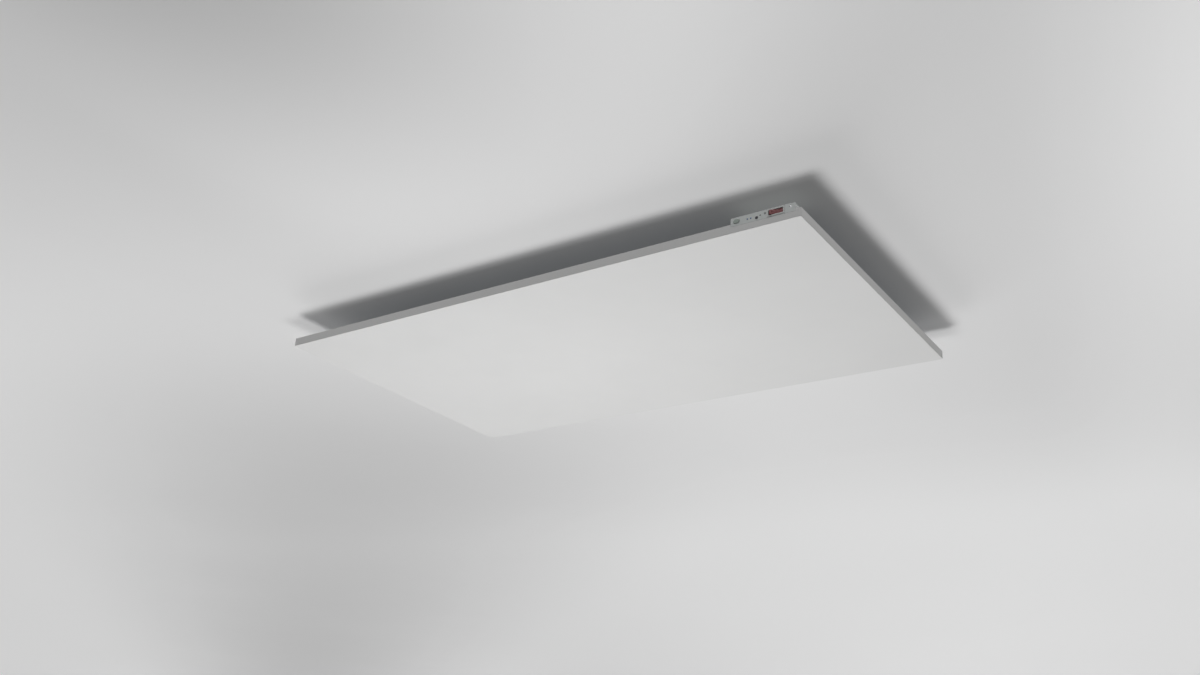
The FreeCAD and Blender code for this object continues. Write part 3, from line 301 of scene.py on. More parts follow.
@dataclass(frozen=True)
class Finish:
    """What every finish has: the record's material slot, a colour and a roughness."""

    slot: str
    colour: Colour
    roughness: float = 0.5

    def mix(self, bench: Bench) -> Material:
        """Mixes the finish in its own way, which each kind of finish gives."""
        raise NotImplementedError

    def rough(self, bench: Bench, value: Socket, by: float = 0.05) -> Socket:
        """The finish's roughness, going up and down with a pattern."""
        return bench.level(value, self.roughness - by, self.roughness + by)

    def material(self) -> Material:
        """The finish's material, made on first use.

        Returns:
            The material. Its name isn't the slot's own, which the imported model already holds.
        """
        name = f"{self.slot}_finish"
        made = bpy.data.materials.get(name)
        return made if made is not None else self.mix(Bench(name))


@dataclass(frozen=True)
class PowderCoat(Finish):
    """Matt powder coat: fine orange peel on sheet that isn't quite flat."""

    peel: float = 1.1 * MM
    peel_depth: float = 0.012 * MM
    swell: float = 0.22
    swell_depth: float = 0.12 * MM
    shade: float = 0.012
    cloud: float = 0.16
    scuff: float = 0.03

    def mix(self, bench: Bench) -> Material:
        """Mixes cloudy tone, peel and the sheet's slow swell.

        Args:
            bench: The bench.

        Returns:
            The material.
        """
        swell = (bench.noise(self.swell, 1.0), self.swell_depth)
        peel = (bench.noise(self.peel), self.peel_depth)
        return bench.dress(
            base_color=bench.mottled(self.colour, bench.noise(self.cloud, 3.0), self.shade),
            roughness=self.rough(bench, bench.noise(self.scuff, 4.0), 0.04),
            normal=bench.bumps(swell, peel),
            specular_ior_level=0.35,
        )


@dataclass(frozen=True)
class ZincSheet(Finish):
    """Galvanised sheet with a small spangle and rolling marks."""

    spangle: float = 7.0 * MM
    spread: float = 0.07
    warp: float = 0.8
    dull: float = 0.09
    mark: float = 0.8 * MM
    mark_depth: float = 0.004 * MM
    swell: float = 0.18
    swell_depth: float = 0.1 * MM

    def mix(self, bench: Bench) -> Material:
        """Mixes spangle, whose crystals run into each other, with rolling marks and dull patches.

        Args:
            bench: The bench.

        Returns:
            The material.
        """
        cells = bench.cells(self.spangle, bench.warped(self.spangle, self.warp * self.spangle))
        inputs = {"Color": cells.outputs["Color"]}
        tone = bench.node("ShaderNodeSeparateColor", inputs).outputs["Red"]
        both = bench.math("MULTIPLY", bench.math("ADD", tone, bench.noise(self.dull, 4.0)), 0.5)
        marks = (bench.noise(self.mark, 3.0, Grain.ALONG_X.value), self.mark_depth)
        return bench.dress(
            base_color=bench.mottled(self.colour, both, self.spread),
            metallic=1.0,
            roughness=self.rough(bench, both),
            normal=bench.bumps((bench.noise(self.swell, 1.0), self.swell_depth), marks),
        )


@dataclass(frozen=True)
class MouldedPlastic(Finish):
    """Injection-moulded plastic with a fine eroded texture."""

    texture: float = 0.35 * MM
    depth: float = 0.008 * MM
    spread: float = 0.02
    flow: float = 18.0 * MM

    def mix(self, bench: Bench) -> Material:
        """Mixes faint flow marks with the mould's texture.

        Args:
            bench: The bench.

        Returns:
            The material.
        """
        grit = bench.noise(self.texture)
        return bench.dress(
            base_color=bench.mottled(self.colour, bench.noise(self.flow, 3.0), self.spread),
            roughness=self.rough(bench, grit),
            normal=bench.bumps((grit, self.depth)),
        )


@dataclass(frozen=True)
class BareMetal(Finish):
    """Drawn, turned or plated metal with fine marks along its grain."""

    grain: Grain = Grain.NONE
    mark: float = 0.5 * MM
    depth: float = 0.003 * MM
    spread: float = 0.06
    tarnish: float = 9.0 * MM

    def mix(self, bench: Bench) -> Material:
        """Mixes marks along the grain with patches of tarnish.

        Args:
            bench: The bench.

        Returns:
            The material.
        """
        marks = bench.noise(self.mark, 3.0, self.grain.value)
        return bench.dress(
            base_color=bench.mottled(self.colour, bench.noise(self.tarnish, 3.0), self.spread),
            metallic=1.0,
            roughness=self.rough(bench, marks, 0.08),
            normal=bench.bumps((marks, self.depth)),
        )


@dataclass(frozen=True)
class Rubber(Finish):
    """Rubber or silicone with a dull bloom."""

    bloom: float = 0.25
    dust: float = 3.0 * MM
    scuff: float = 6.0 * MM
    pit: float = 0.3 * MM
    pit_depth: float = 0.01 * MM

    def mix(self, bench: Bench) -> Material:
        """Mixes the bloom with a fine pitted surface.

        Args:
            bench: The bench.

        Returns:
            The material.
        """
        return bench.dress(
            base_color=bench.mottled(self.colour, bench.noise(self.dust, 4.0), self.bloom),
            roughness=self.rough(bench, bench.noise(self.scuff), 0.06),
            normal=bench.bumps((bench.noise(self.pit), self.pit_depth)),
        )


@dataclass(frozen=True)
class StripedSheath(Finish):
    """A wire sheath with a second colour in a stripe along it."""

    stripe: Colour = (0.85, 0.72, 0.06)
    stripe_share: float = 0.5
    width: float = 1.5 * MM
    scuff: float = 2.0 * MM
    pit: float = 0.4 * MM
    pit_depth: float = 0.01 * MM

    def mix(self, bench: Bench) -> Material:
        """Mixes the two colours in bands on the sheath's top and bottom.

        Args:
            bench: The bench.

        Returns:
            The material.
        """
        stops = [(0.0, self.colour), (self.stripe_share, self.stripe)]
        return bench.dress(
            base_color=bench.bands("Z", self.width, stops),
            roughness=self.rough(bench, bench.noise(self.scuff)),
            normal=bench.bumps((bench.noise(self.pit), self.pit_depth)),
        )


@dataclass(frozen=True)
class TintedLens(Finish):
    """A clear or tinted light pipe of polished plastic."""

    clear: float = 0.55
    spread: float = 0.05
    ripple: float = 0.9 * MM
    ripple_depth: float = 0.004 * MM

    def mix(self, bench: Bench) -> Material:
        """Mixes tinted clear plastic with a faint ripple.

        Args:
            bench: The bench.

        Returns:
            The material.
        """
        ripple = bench.noise(self.ripple, 1.0)
        return bench.dress(
            base_color=bench.mottled(self.colour, ripple, self.spread),
            roughness=bench.level(ripple, self.roughness, self.roughness + 0.05),
            normal=bench.bumps((ripple, self.ripple_depth)),
            transmission_weight=self.clear,
            ior=1.49,
        )


@dataclass(frozen=True)
class CircuitBoard(Finish):
    """Solder resist over copper tracks."""

    track: Colour = (0.09, 0.34, 0.18)
    track_share: float = 0.32
    pitch: float = 2.54 * MM
    relief: float = 0.03 * MM

    def mix(self, bench: Bench) -> Material:
        """Mixes tracks that show lighter and stand up a little under the resist.

        Args:
            bench: The bench.

        Returns:
            The material.
        """
        distance = bench.cells(self.pitch, distance="MANHATTAN").outputs["Distance"]
        colours = [(0.0, tinted(self.track, 1.0)), (self.track_share, tinted(self.colour, 1.0))]
        return bench.dress(
            base_color=bench.shades(distance, colours, sharp=True),
            roughness=bench.level(distance, self.roughness - 0.05, self.roughness + 0.1),
            normal=bench.bumps((distance, self.relief)),
        )


@dataclass(frozen=True)
class MineralWool(Finish):
    """Pressed fibre board or felt."""

    fibre: float = 0.9 * MM
    depth: float = 0.25 * MM
    clump: float = 14.0 * MM
    spread: float = 0.12

    def mix(self, bench: Bench) -> Material:
        """Mixes crossed fibres with soft clumps.

        Args:
            bench: The bench.

        Returns:
            The material.
        """
        along = bench.noise(self.fibre, 4.0, Grain.ALONG_X.value)
        across = bench.noise(self.fibre, 4.0, Grain.ALONG_Y.value)
        return bench.dress(
            base_color=bench.mottled(self.colour, bench.noise(self.clump, 3.0), self.spread),
            roughness=self.rough(bench, along),
            normal=bench.bumps((along, self.depth), (across, self.depth)),
            sheen_weight=0.15,
        )


@dataclass(frozen=True)
class CarbonFilm(Finish):
    """Printed carbon bands between clear films."""

    band: float = 12.0 * MM
    gap: Colour = (0.16, 0.15, 0.13)
    gap_share: float = 0.18
    scuff: float = 4.0 * MM
    dimple: float = 1.5 * MM
    dimple_depth: float = 0.02 * MM

    def mix(self, bench: Bench) -> Material:
        """Mixes carbon bands across the panel with the clear gaps between them.

        Args:
            bench: The bench.

        Returns:
            The material.
        """
        stops = [(0.0, self.gap), (self.gap_share, self.colour)]
        return bench.dress(
            base_color=bench.bands("X", self.band, stops),
            roughness=self.rough(bench, bench.noise(self.scuff), 0.06),
            normal=bench.bumps((bench.noise(self.dimple), self.dimple_depth)),
            coat_weight=0.3,
        )


class Finishes:
    """The finish of every material slot."""

    PANEL = PowderCoat("panel_white", (0.75, 0.75, 0.745), 0.62)
    COVER = ZincSheet("galvanised_steel", (0.47, 0.49, 0.51), 0.41, spangle=10.0 * MM, spread=0.07)
    BRACKET = ZincSheet("bracket_steel", (0.57, 0.58, 0.59), 0.36, spangle=4.0 * MM, spread=0.04)
    FRAME = BareMetal("frame_aluminium", (0.70, 0.71, 0.72), 0.35, Grain.ALONG_X)
    FOIL = BareMetal("foil_aluminium", (0.82, 0.83, 0.84), 0.22, Grain.NONE, 6.0 * MM, 0.15 * MM)
    RIVET = BareMetal("rivet_aluminium", (0.66, 0.67, 0.68), 0.36)
    SCREW = BareMetal("screw_steel", (0.68, 0.68, 0.70), 0.30)
    PIN = BareMetal("pin_steel", (0.60, 0.60, 0.62), 0.22, Grain.ALONG_X)
    STRIP = Rubber("friction_rubber", (0.05, 0.05, 0.055), 0.75)
    BUSHING = Rubber("bushing_rubber", (0.08, 0.08, 0.085), 0.65)
    BLOCK = MouldedPlastic("block_plastic", (0.20, 0.21, 0.22), 0.55)
    FILM = CarbonFilm("film_black", (0.035, 0.035, 0.04), 0.40)
    BUSBAR = BareMetal("busbar_copper", (0.72, 0.43, 0.30), 0.30, Grain.ALONG_X)
    LUG = BareMetal("lug_tin", (0.72, 0.72, 0.70), 0.34)
    WOOL = MineralWool("insulation_wool", (0.72, 0.66, 0.48), 0.95)
    FELT = MineralWool("insulation_pad", (0.82, 0.81, 0.76), 0.95, 0.5 * MM, 0.15 * MM)
    LIMITER = BareMetal("limiter_case", (0.60, 0.58, 0.55), 0.34, Grain.ALONG_Y)
    BROWN = Rubber("wire_brown", (0.23, 0.11, 0.06), 0.48, 0.08)
    BLUE = Rubber("wire_blue", (0.07, 0.20, 0.50), 0.48, 0.08)
    EARTH = StripedSheath("wire_green_yellow", (0.10, 0.42, 0.08), 0.48)
    HOUSING = MouldedPlastic("housing_plastic", (0.67, 0.70, 0.69), 0.50)
    FASCIA = MouldedPlastic("fascia_plastic", (0.68, 0.71, 0.70), 0.46)
    SWITCH = MouldedPlastic("switch_plastic", (0.66, 0.68, 0.67), 0.40)
    ROCKER = MouldedPlastic("rocker_red", (0.26, 0.075, 0.08), 0.34, 0.5 * MM, 0.003 * MM, 0.06)
    BLADE = BareMetal("blade_brass", (0.76, 0.64, 0.34), 0.26, Grain.ALONG_Y)
    BUTTON = MouldedPlastic("button_green", (0.38, 0.44, 0.40), 0.44)
    PLUNGER = MouldedPlastic("plunger_black", (0.06, 0.06, 0.06), 0.40)
    TACT = MouldedPlastic("tact_plastic", (0.10, 0.10, 0.11), 0.45)
    GREY_LENS = TintedLens("lens_grey", (0.42, 0.43, 0.43), 0.12, 0.35)
    CLEAR_LENS = TintedLens("lens_clear", (0.80, 0.82, 0.82), 0.08, 0.75)
    BLUE_LENS = TintedLens("lens_blue", (0.10, 0.26, 0.62), 0.10, 0.45)
    DARK_LENS = TintedLens("lens_dark", (0.07, 0.06, 0.08), 0.12, 0.10)
    BOARD = CircuitBoard("board_green", (0.04, 0.22, 0.12), 0.32)
    HEADER = MouldedPlastic("header_black", (0.04, 0.04, 0.045), 0.45)
    RELAY = MouldedPlastic("relay_blue", (0.08, 0.16, 0.34), 0.38)
    MODULE = MouldedPlastic("module_black", (0.05, 0.05, 0.05), 0.60, 1.2 * MM, 0.03 * MM)
    CAPACITOR = MouldedPlastic("capacitor_blue", (0.05, 0.07, 0.20), 0.30)
    FUSE = MouldedPlastic("fuse_brown", (0.26, 0.12, 0.07), 0.45)
    TERMINAL = MouldedPlastic("terminal_white", (0.78, 0.76, 0.70), 0.42)
    BRASS = BareMetal("earth_brass", (0.74, 0.60, 0.30), 0.30)


Looks = tuple[tuple[Finish | str, ...], ...]


# ---- What the pieces are made and dressed with


@dataclass
class Workshop:
    """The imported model, and what is done to it."""

    nodes: dict[str, Piece]

    def dress(self, finish: Finish, *names: str) -> None:
        """Gives construction nodes their finish.

        Args:
            finish: The finish.
            *names: The nodes.
        """
        for name in names:
            data = self.nodes[name].data
            data.materials.clear()
            data.materials.append(finish.material())
            LOG.info("dressed %s in %s", name, finish.slot)

    def add(self, piece: Piece, finish: Finish, body: Body, *stands_for: str) -> None:
        """Puts a modelled piece on its body in place of construction nodes.

        Args:
            piece: The piece, at the origin with its place in its mesh.
            finish: Its finish.
            body: The body that it rides on.
            *stands_for: The nodes that it replaces.
        """
        soften(piece)
        piece.data.materials.clear()
        piece.data.materials.append(finish.material())
        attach(piece, body.value)
        if stands_for:
            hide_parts(*stands_for)
        LOG.info("built %s with %d faces", piece.name, len(piece.data.polygons))

    def solids(self, name: str) -> list[tuple[Vector, Vector]]:
        """The boxes of a node's separate solids.

        Args:
            name: The node.

        Returns:
            The lowest and highest corner of each solid, in order along X and then Y.
        """
        mesh = bmesh.new()
        mesh.from_mesh(self.nodes[name].data)
        bmesh.ops.remove_doubles(mesh, verts=mesh.verts, dist=WELD)
        left, boxes = set(mesh.verts), []
        while left:
            island, edge = set(), {left.pop()}
            while edge:
                island |= edge
                edge = {e.other_vert(v) for v in edge for e in v.link_edges} - island
            left -= island
            low = Vector(min(v.co[i] for v in island) for i in range(3))
            boxes.append((low, Vector(max(v.co[i] for v in island) for i in range(3))))
        mesh.free()
        return sorted(boxes, key=lambda box: (round(box[0].x, 4), box[0].y))


def centre(low: Vector, high: Vector, **at: float) -> Vector:
    """The middle of a box, apart from the coordinates x, y or z that are given."""
    return Vector(at.get(axis, (getattr(low, axis) + getattr(high, axis)) / 2) for axis in "xyz")


def placed(name: str, data: bpy.types.ID) -> Piece:
    """A new object at the origin.

    Args:
        name: The object's name.
        data: Its mesh, with its place in its points, or its light or camera.

    Returns:
        The object, in the scene.
    """
    made = bpy.data.objects.new(name, data)
    bpy.context.scene.collection.objects.link(made)
    return made


def from_bmesh(name: str, shape: bmesh.types.BMesh) -> Piece:
    """An object from a bmesh, which is freed.

    Args:
        name: The object's name.
        shape: The mesh, with its faces outwards.

    Returns:
        The object, in the scene.
    """
    mesh = bpy.data.meshes.new(name)
    shape.to_mesh(mesh)
    shape.free()
    return placed(name, mesh)


def soften(piece: Piece, crease: float = math.radians(36.0)) -> None:
    """Shades a piece smooth apart from its creases.

    Args:
        piece: The piece.
        crease: The angle from which an edge stays sharp.
    """
    shape = bmesh.new()
    shape.from_mesh(piece.data)
    for face in shape.faces:
        face.smooth = True
    for edge in shape.edges:
        edge.smooth = edge.calc_face_angle(math.pi) < crease
    shape.to_mesh(piece.data)
    shape.free()


def finished(piece: Piece) -> Piece:
    """Turns a piece's modifiers into plain mesh.

    Args:
        piece: The piece, whose modifiers are removed.

    Returns:
        The same piece.
    """
    graph = bpy.context.evaluated_depsgraph_get()
    mesh = bpy.data.meshes.new_from_object(piece.evaluated_get(graph))
    piece.modifiers.clear()
    piece.data = mesh
    return piece


class Tree(Wiring):
    """A geometry node tree that is being built."""

    def __init__(self, name: str) -> None:
        """Starts a tree with a geometry input and output.

        Args:
            name: The tree's name.
        """
        super().__init__(bpy.data.node_groups.new(name, "GeometryNodeTree"))
        self.sockets: dict[str, bpy.types.NodeTreeInterfaceSocket] = {}
        self.interface("Geometry", "NodeSocketGeometry")
        self.tree.interface.new_socket(
            "Geometry", in_out="OUTPUT", socket_type="NodeSocketGeometry")
        self.start = self.tree.nodes.new("NodeGroupInput")
        self.end = self.tree.nodes.new("NodeGroupOutput")

    def interface(self, name: str, kind: str) -> None:
        """Adds a named input of a socket type to the tree."""
        self.sockets[name] = self.tree.interface.new_socket(
            name, in_out="INPUT", socket_type=kind)

    def value(self, name: str) -> Socket:
        """The socket that gives one of the tree's named inputs."""
        return self.start.outputs[name]

    def share(self, name: str, whole: object) -> Socket:
        """A share of a length, where the share is one of the tree's named inputs."""
        return self.math("MULTIPLY", whole, self.value(name))

    def vector(self, x: object = 0.0, y: object = 0.0, z: object = 0.0) -> Socket:
        """A vector from three numbers or sockets."""
        return self.node("ShaderNodeCombineXYZ", {"X": x, "Y": y, "Z": z}).outputs["Vector"]

    def moved(self, shape: Socket, place: Socket, scale: object = (1.0, 1.0, 1.0)) -> Socket:
        """A shape put somewhere and made larger along each axis."""
        inputs = {"Geometry": shape, "Translation": place, "Scale": scale}
        return self.node("GeometryNodeTransform", inputs).outputs["Geometry"]

    def boolean(self, operation: str, first: Socket, *others: Socket) -> Socket:
        """Joins or cuts shapes.

        Args:
            operation: UNION, INTERSECT or DIFFERENCE.
            first: The first shape.
            *others: The shapes that it meets.

        Returns:
            The result.
        """
        if operation == "DIFFERENCE":
            inputs = {"Mesh 1": first, "Mesh 2": list(others)}
        else:
            inputs = {"Mesh 2": [first, *others]}
        made = self.node("GeometryNodeMeshBoolean", inputs, operation=operation, solver="EXACT")
        return made.outputs["Mesh"]

    def joined(self, *shapes: Socket) -> Socket:
        """Several shapes as one, each left as it is."""
        return self.node("GeometryNodeJoinGeometry", {"Geometry": [*shapes]}).outputs["Geometry"]

    def rod(self, radius: object, low: object, high: object, sides: int) -> Socket:
        """An upright round bar.

        Args:
            radius: Its radius.
            low: The height of its lower end.
            high: The height of its upper end.
            sides: How many sides stand for its round.

        Returns:
            The bar.
        """
        tall = self.math("SUBTRACT", high, low)
        inputs = {"Vertices": sides, "Radius": radius, "Depth": tall}
        bar = self.node("GeometryNodeMeshCylinder", inputs).outputs["Mesh"]
        middle = self.math("MULTIPLY", self.math("ADD", high, low), 0.5)
        return self.moved(bar, self.vector(z=middle))

    def scattered(self, shape: Socket, spin: float, seed: int) -> Socket:
        """The shape on every point of the input, turned the same way and spun at random.

        Args:
            shape: What is repeated.
            spin: The largest spin about the shape's own axis.
            seed: The seed of the spin.

        Returns:
            The repeated shapes as instances.
        """
        points, facing = self.value("Geometry"), self.value("Facing")
        inputs = {"Points": points, "Instance": shape, "Rotation": facing}
        spread = self.node("GeometryNodeInstanceOnPoints", inputs).outputs["Instances"]
        turn = self.node("FunctionNodeRandomValue", {3: spin, "Seed": seed}, data_type="FLOAT")
        inputs = {"Instances": spread, "Rotation": self.vector(z=turn.outputs[1])}
        return self.node("GeometryNodeRotateInstances", inputs).outputs["Instances"]

    def close(self, shape: Socket, material: Material) -> None:
        """Ends the tree with real geometry in a material.

        Args:
            shape: What the tree gives.
            material: The material that it gets.
        """
        real = self.node("GeometryNodeRealizeInstances", {"Geometry": shape}).outputs["Geometry"]
        coat = self.node("GeometryNodeSetMaterial", {"Geometry": real, "Material": material})
        self.feed(self.end.inputs["Geometry"], coat.outputs["Geometry"])

    def run(self, name: str, places: Iterable[Vector], sizes: dict[str, object]) -> Piece:
        """Runs the tree on a set of places.

        Args:
            name: The name of the piece.
            places: Where the tree's shape goes.
            sizes: A value for each of the tree's named inputs.

        Returns:
            The piece as plain mesh.
        """
        mesh = bpy.data.meshes.new(name)
        mesh.from_pydata([tuple(place) for place in places], [], [])
        piece = placed(name, mesh)
        modifier = piece.modifiers.new("Shape", "NODES")
        modifier.node_group = self.tree
        for key, value in sizes.items():
            modifier[self.sockets[key].identifier] = value
        return finished(piece)


# ---- Fasteners


@dataclass(frozen=True)
class Fastener:
    """A fastener that a tree sets on every seat. Its lengths and shares are the tree's inputs."""

    head_radius: float
    head_height: float
    shank_radius: float
    kind: str = field(kw_only=True)
    finish: Finish = field(kw_only=True)
    seed: int = field(kw_only=True)
    facing: Facing = field(default=Facing.UP, kw_only=True)
    sides: int = field(default=28, kw_only=True)
    rings: int = field(default=20, kw_only=True)

    def shape(self, tree: Tree) -> Socket:
        """Draws one fastener from the tree's inputs, its head's underside at the origin."""
        raise NotImplementedError

    def ball(self, tree: Tree, radius: object) -> Socket:
        """The flattened ball that gives the head its dome.

        Args:
            tree: The tree.
            radius: How wide the ball is.

        Returns:
            The ball, as high as the head.
        """
        inputs = {"Segments": self.sides, "Rings": self.rings, "Radius": 1.0}
        ball = tree.node("GeometryNodeMeshUVSphere", inputs).outputs["Mesh"]
        scale = tree.vector(radius, radius, tree.value("Head Height"))
        return tree.moved(ball, tree.vector(), scale)

    def make(self, name: str, seats: Iterable[Vector]) -> Piece:
        """Makes the fasteners of one group.

        Args:
            name: The group's name.
            seats: Where the undersides of the heads sit.

        Returns:
            The fasteners as one piece.
        """
        sizes = {item.name.replace("_", " ").title(): getattr(self, item.name)
                 for item in fields(self) if isinstance(getattr(self, item.name), float)}
        tree = Tree(self.kind)
        for size in sizes:
            tree.interface(size, "NodeSocketFloat")
        tree.interface("Facing", "NodeSocketRotation")
        spread = tree.scattered(self.shape(tree), math.pi, self.seed)
        tree.close(spread, self.finish.material())
        return tree.run(name, seats, {**sizes, "Facing": self.facing.value})

    def stand(self, shop: Workshop, name: str, node: str) -> None:
        """Makes the upright fasteners that replace a node, and hands them in."""
        seats = [centre(low, high, z=high.z - self.head_height) for low, high in shop.solids(node)]
        shop.add(self.make(name, seats), self.finish, Body.PANEL, node)


@dataclass(frozen=True)
class PanScrew(Fastener):
    """A pan-head screw with a cross recess. The recess is in shares of the head's size."""

    length: float
    kind: str = field(default="pan_screw", kw_only=True)
    finish: Finish = field(default=Finishes.SCREW, kw_only=True)
    seed: int = field(default=7, kw_only=True)
    dome_spread: float = 1.24
    recess_reach: float = 0.6
    recess_width: float = 0.26
    recess_depth: float = 0.8

    def shape(self, tree: Tree) -> Socket:
        """Draws a domed head less a cross, on a shank.

        Args:
            tree: The tree, with the screw's sizes as named inputs.

        Returns:
            Its shape.
        """
        radius, height = tree.value("Head Radius"), tree.value("Head Height")
        blank = tree.rod(radius, 0.0, height, self.sides)
        head = tree.boolean("INTERSECT", blank, self.ball(tree, tree.share("Dome Spread", radius)))
        reach = tree.math("MULTIPLY", tree.share("Recess Reach", radius), 2.0)
        width = tree.share("Recess Width", radius)
        deep = tree.math("MULTIPLY", tree.share("Recess Depth", height), 2.0)
        bars = [tree.node("GeometryNodeMeshCube", {"Size": size}).outputs["Mesh"]
                for size in (tree.vector(reach, width, deep), tree.vector(width, reach, deep))]
        cross = tree.moved(tree.boolean("UNION", *bars), tree.vector(z=height))
        low = tree.math("MULTIPLY", tree.value("Length"), -1.0)
        shank = tree.rod(tree.value("Shank Radius"), low, 0.0, sides=12)
        return tree.joined(tree.boolean("DIFFERENCE", head, cross), shank)


@dataclass(frozen=True)
class BlindRivet(Fastener):
    """A domed blind rivet with its broken mandrel sunk in the middle of the head."""

    kind: str = field(default="blind_rivet", kw_only=True)
    finish: Finish = field(default=Finishes.RIVET, kw_only=True)
    seed: int = field(default=11, kw_only=True)
    head_radius: float = 3.2 * MM
    head_height: float = 1.2 * MM
    shank_radius: float = 1.6 * MM
    tail_radius: float = 2.1 * MM
    tail_length: float = 2.0 * MM
    grip: float = 2.1 * MM
    mandrel_radius: float = 0.8 * MM
    mandrel_foot: float = 0.3
    mandrel_top: float = 0.85
    dimple_spread: float = 1.25
    dimple_floor: float = 0.45
    dimple_reach: float = 10.0 * MM
    collar_spread: float = 1.1

    def shape(self, tree: Tree) -> Socket:
        """Draws a dome with a dimple, the mandrel's end in it, a shank and a pulled tail.

        Args:
            tree: The tree, with the rivet's sizes as named inputs.

        Returns:
            Its shape.
        """
        radius, height = tree.value("Head Radius"), tree.value("Head Height")
        mandrel = tree.value("Mandrel Radius")
        collar = tree.rod(tree.share("Collar Spread", radius), 0.0, height, sides=8)
        dome = tree.boolean("INTERSECT", self.ball(tree, radius), collar)
        dimple = tree.rod(tree.share("Dimple Spread", mandrel), tree.share("Dimple Floor", height),
                          tree.value("Dimple Reach"), sides=16)
        foot, top = tree.share("Mandrel Foot", height), tree.share("Mandrel Top", height)
        under = tree.math("MULTIPLY", tree.value("Grip"), -1.0)
        low = tree.math("SUBTRACT", under, tree.value("Tail Length"))
        return tree.joined(
            tree.boolean("DIFFERENCE", dome, dimple),
            tree.rod(mandrel, foot, top, sides=16),
            tree.rod(tree.value("Shank Radius"), under, 0.0, sides=16),
            tree.rod(tree.value("Tail Radius"), low, under, sides=16),
        )


# ---- Sub-assemblies


@dataclass
class Assembly:
    """A sub-assembly: construction nodes with their finishes, and pieces that are modelled."""

    workshop: Workshop
    looks: Looks = ()

    def build(self) -> None:
        """Dresses the construction nodes and makes the modelled pieces."""
        for finish, *names in self.looks:
            self.workshop.dress(finish, *names)
        self.model()

    def model(self) -> None:
        """Makes the modelled pieces, where the assembly has any."""


@dataclass
class Suspension(Assembly):
    """The rails on the ceiling, the hangers on the panel and their rivets."""

    looks: Looks = (
        (Finishes.BRACKET, "ceiling_rail_front", "ceiling_rail_rear"),
        (Finishes.BRACKET, "hanger_rail_front", "hanger_rail_rear"),
        (Finishes.STRIP, "friction_strip_front", "friction_strip_rear"),
    )
    rivet: BlindRivet = BlindRivet()

    def model(self) -> None:
        """Makes the rivets."""
        self.rivet.stand(self.workshop, "rivets", "hanger_rivets")


@dataclass
class PanelShell(Assembly):
    """The folded front tray, the rear cover, its screws and the frame inside."""

    looks: Looks = (
        (Finishes.PANEL, "front_panel"),
        (Finishes.COVER, "rear_cover"),
        (Finishes.FRAME, "frame_rail_front", "frame_rail_rear"),
        (Finishes.FRAME, "frame_rail_left", "frame_rail_right"),
        (Finishes.BLOCK, "corner_block_front_left", "corner_block_front_right"),
        (Finishes.BLOCK, "corner_block_rear_left", "corner_block_rear_right"),
    )
    screw: PanScrew = PanScrew(2.8 * MM, 1.6 * MM, 1.45 * MM, 6.0 * MM)

    def model(self) -> None:
        """Makes the cover screws."""
        self.screw.stand(self.workshop, "cover_screw_set", "cover_screws")


@dataclass
class HeatingCore(Assembly):
    """The heating film with its supply, and the layers behind it."""

    looks: Looks = (
        (Finishes.FILM, "heating_film"),
        (Finishes.BUSBAR, "busbar_front", "busbar_rear"),
        (Finishes.LUG, "solder_lugs"),
        (Finishes.WOOL, "insulation_board"),
        (Finishes.FOIL, "reflector_foil"),
        (Finishes.FELT, "corner_insulation"),
        (Finishes.LIMITER, "thermal_limiter_front", "thermal_limiter_rear"),
        (Finishes.BROWN, "live_lead"),
        (Finishes.BLUE, "neutral_lead"),
    )


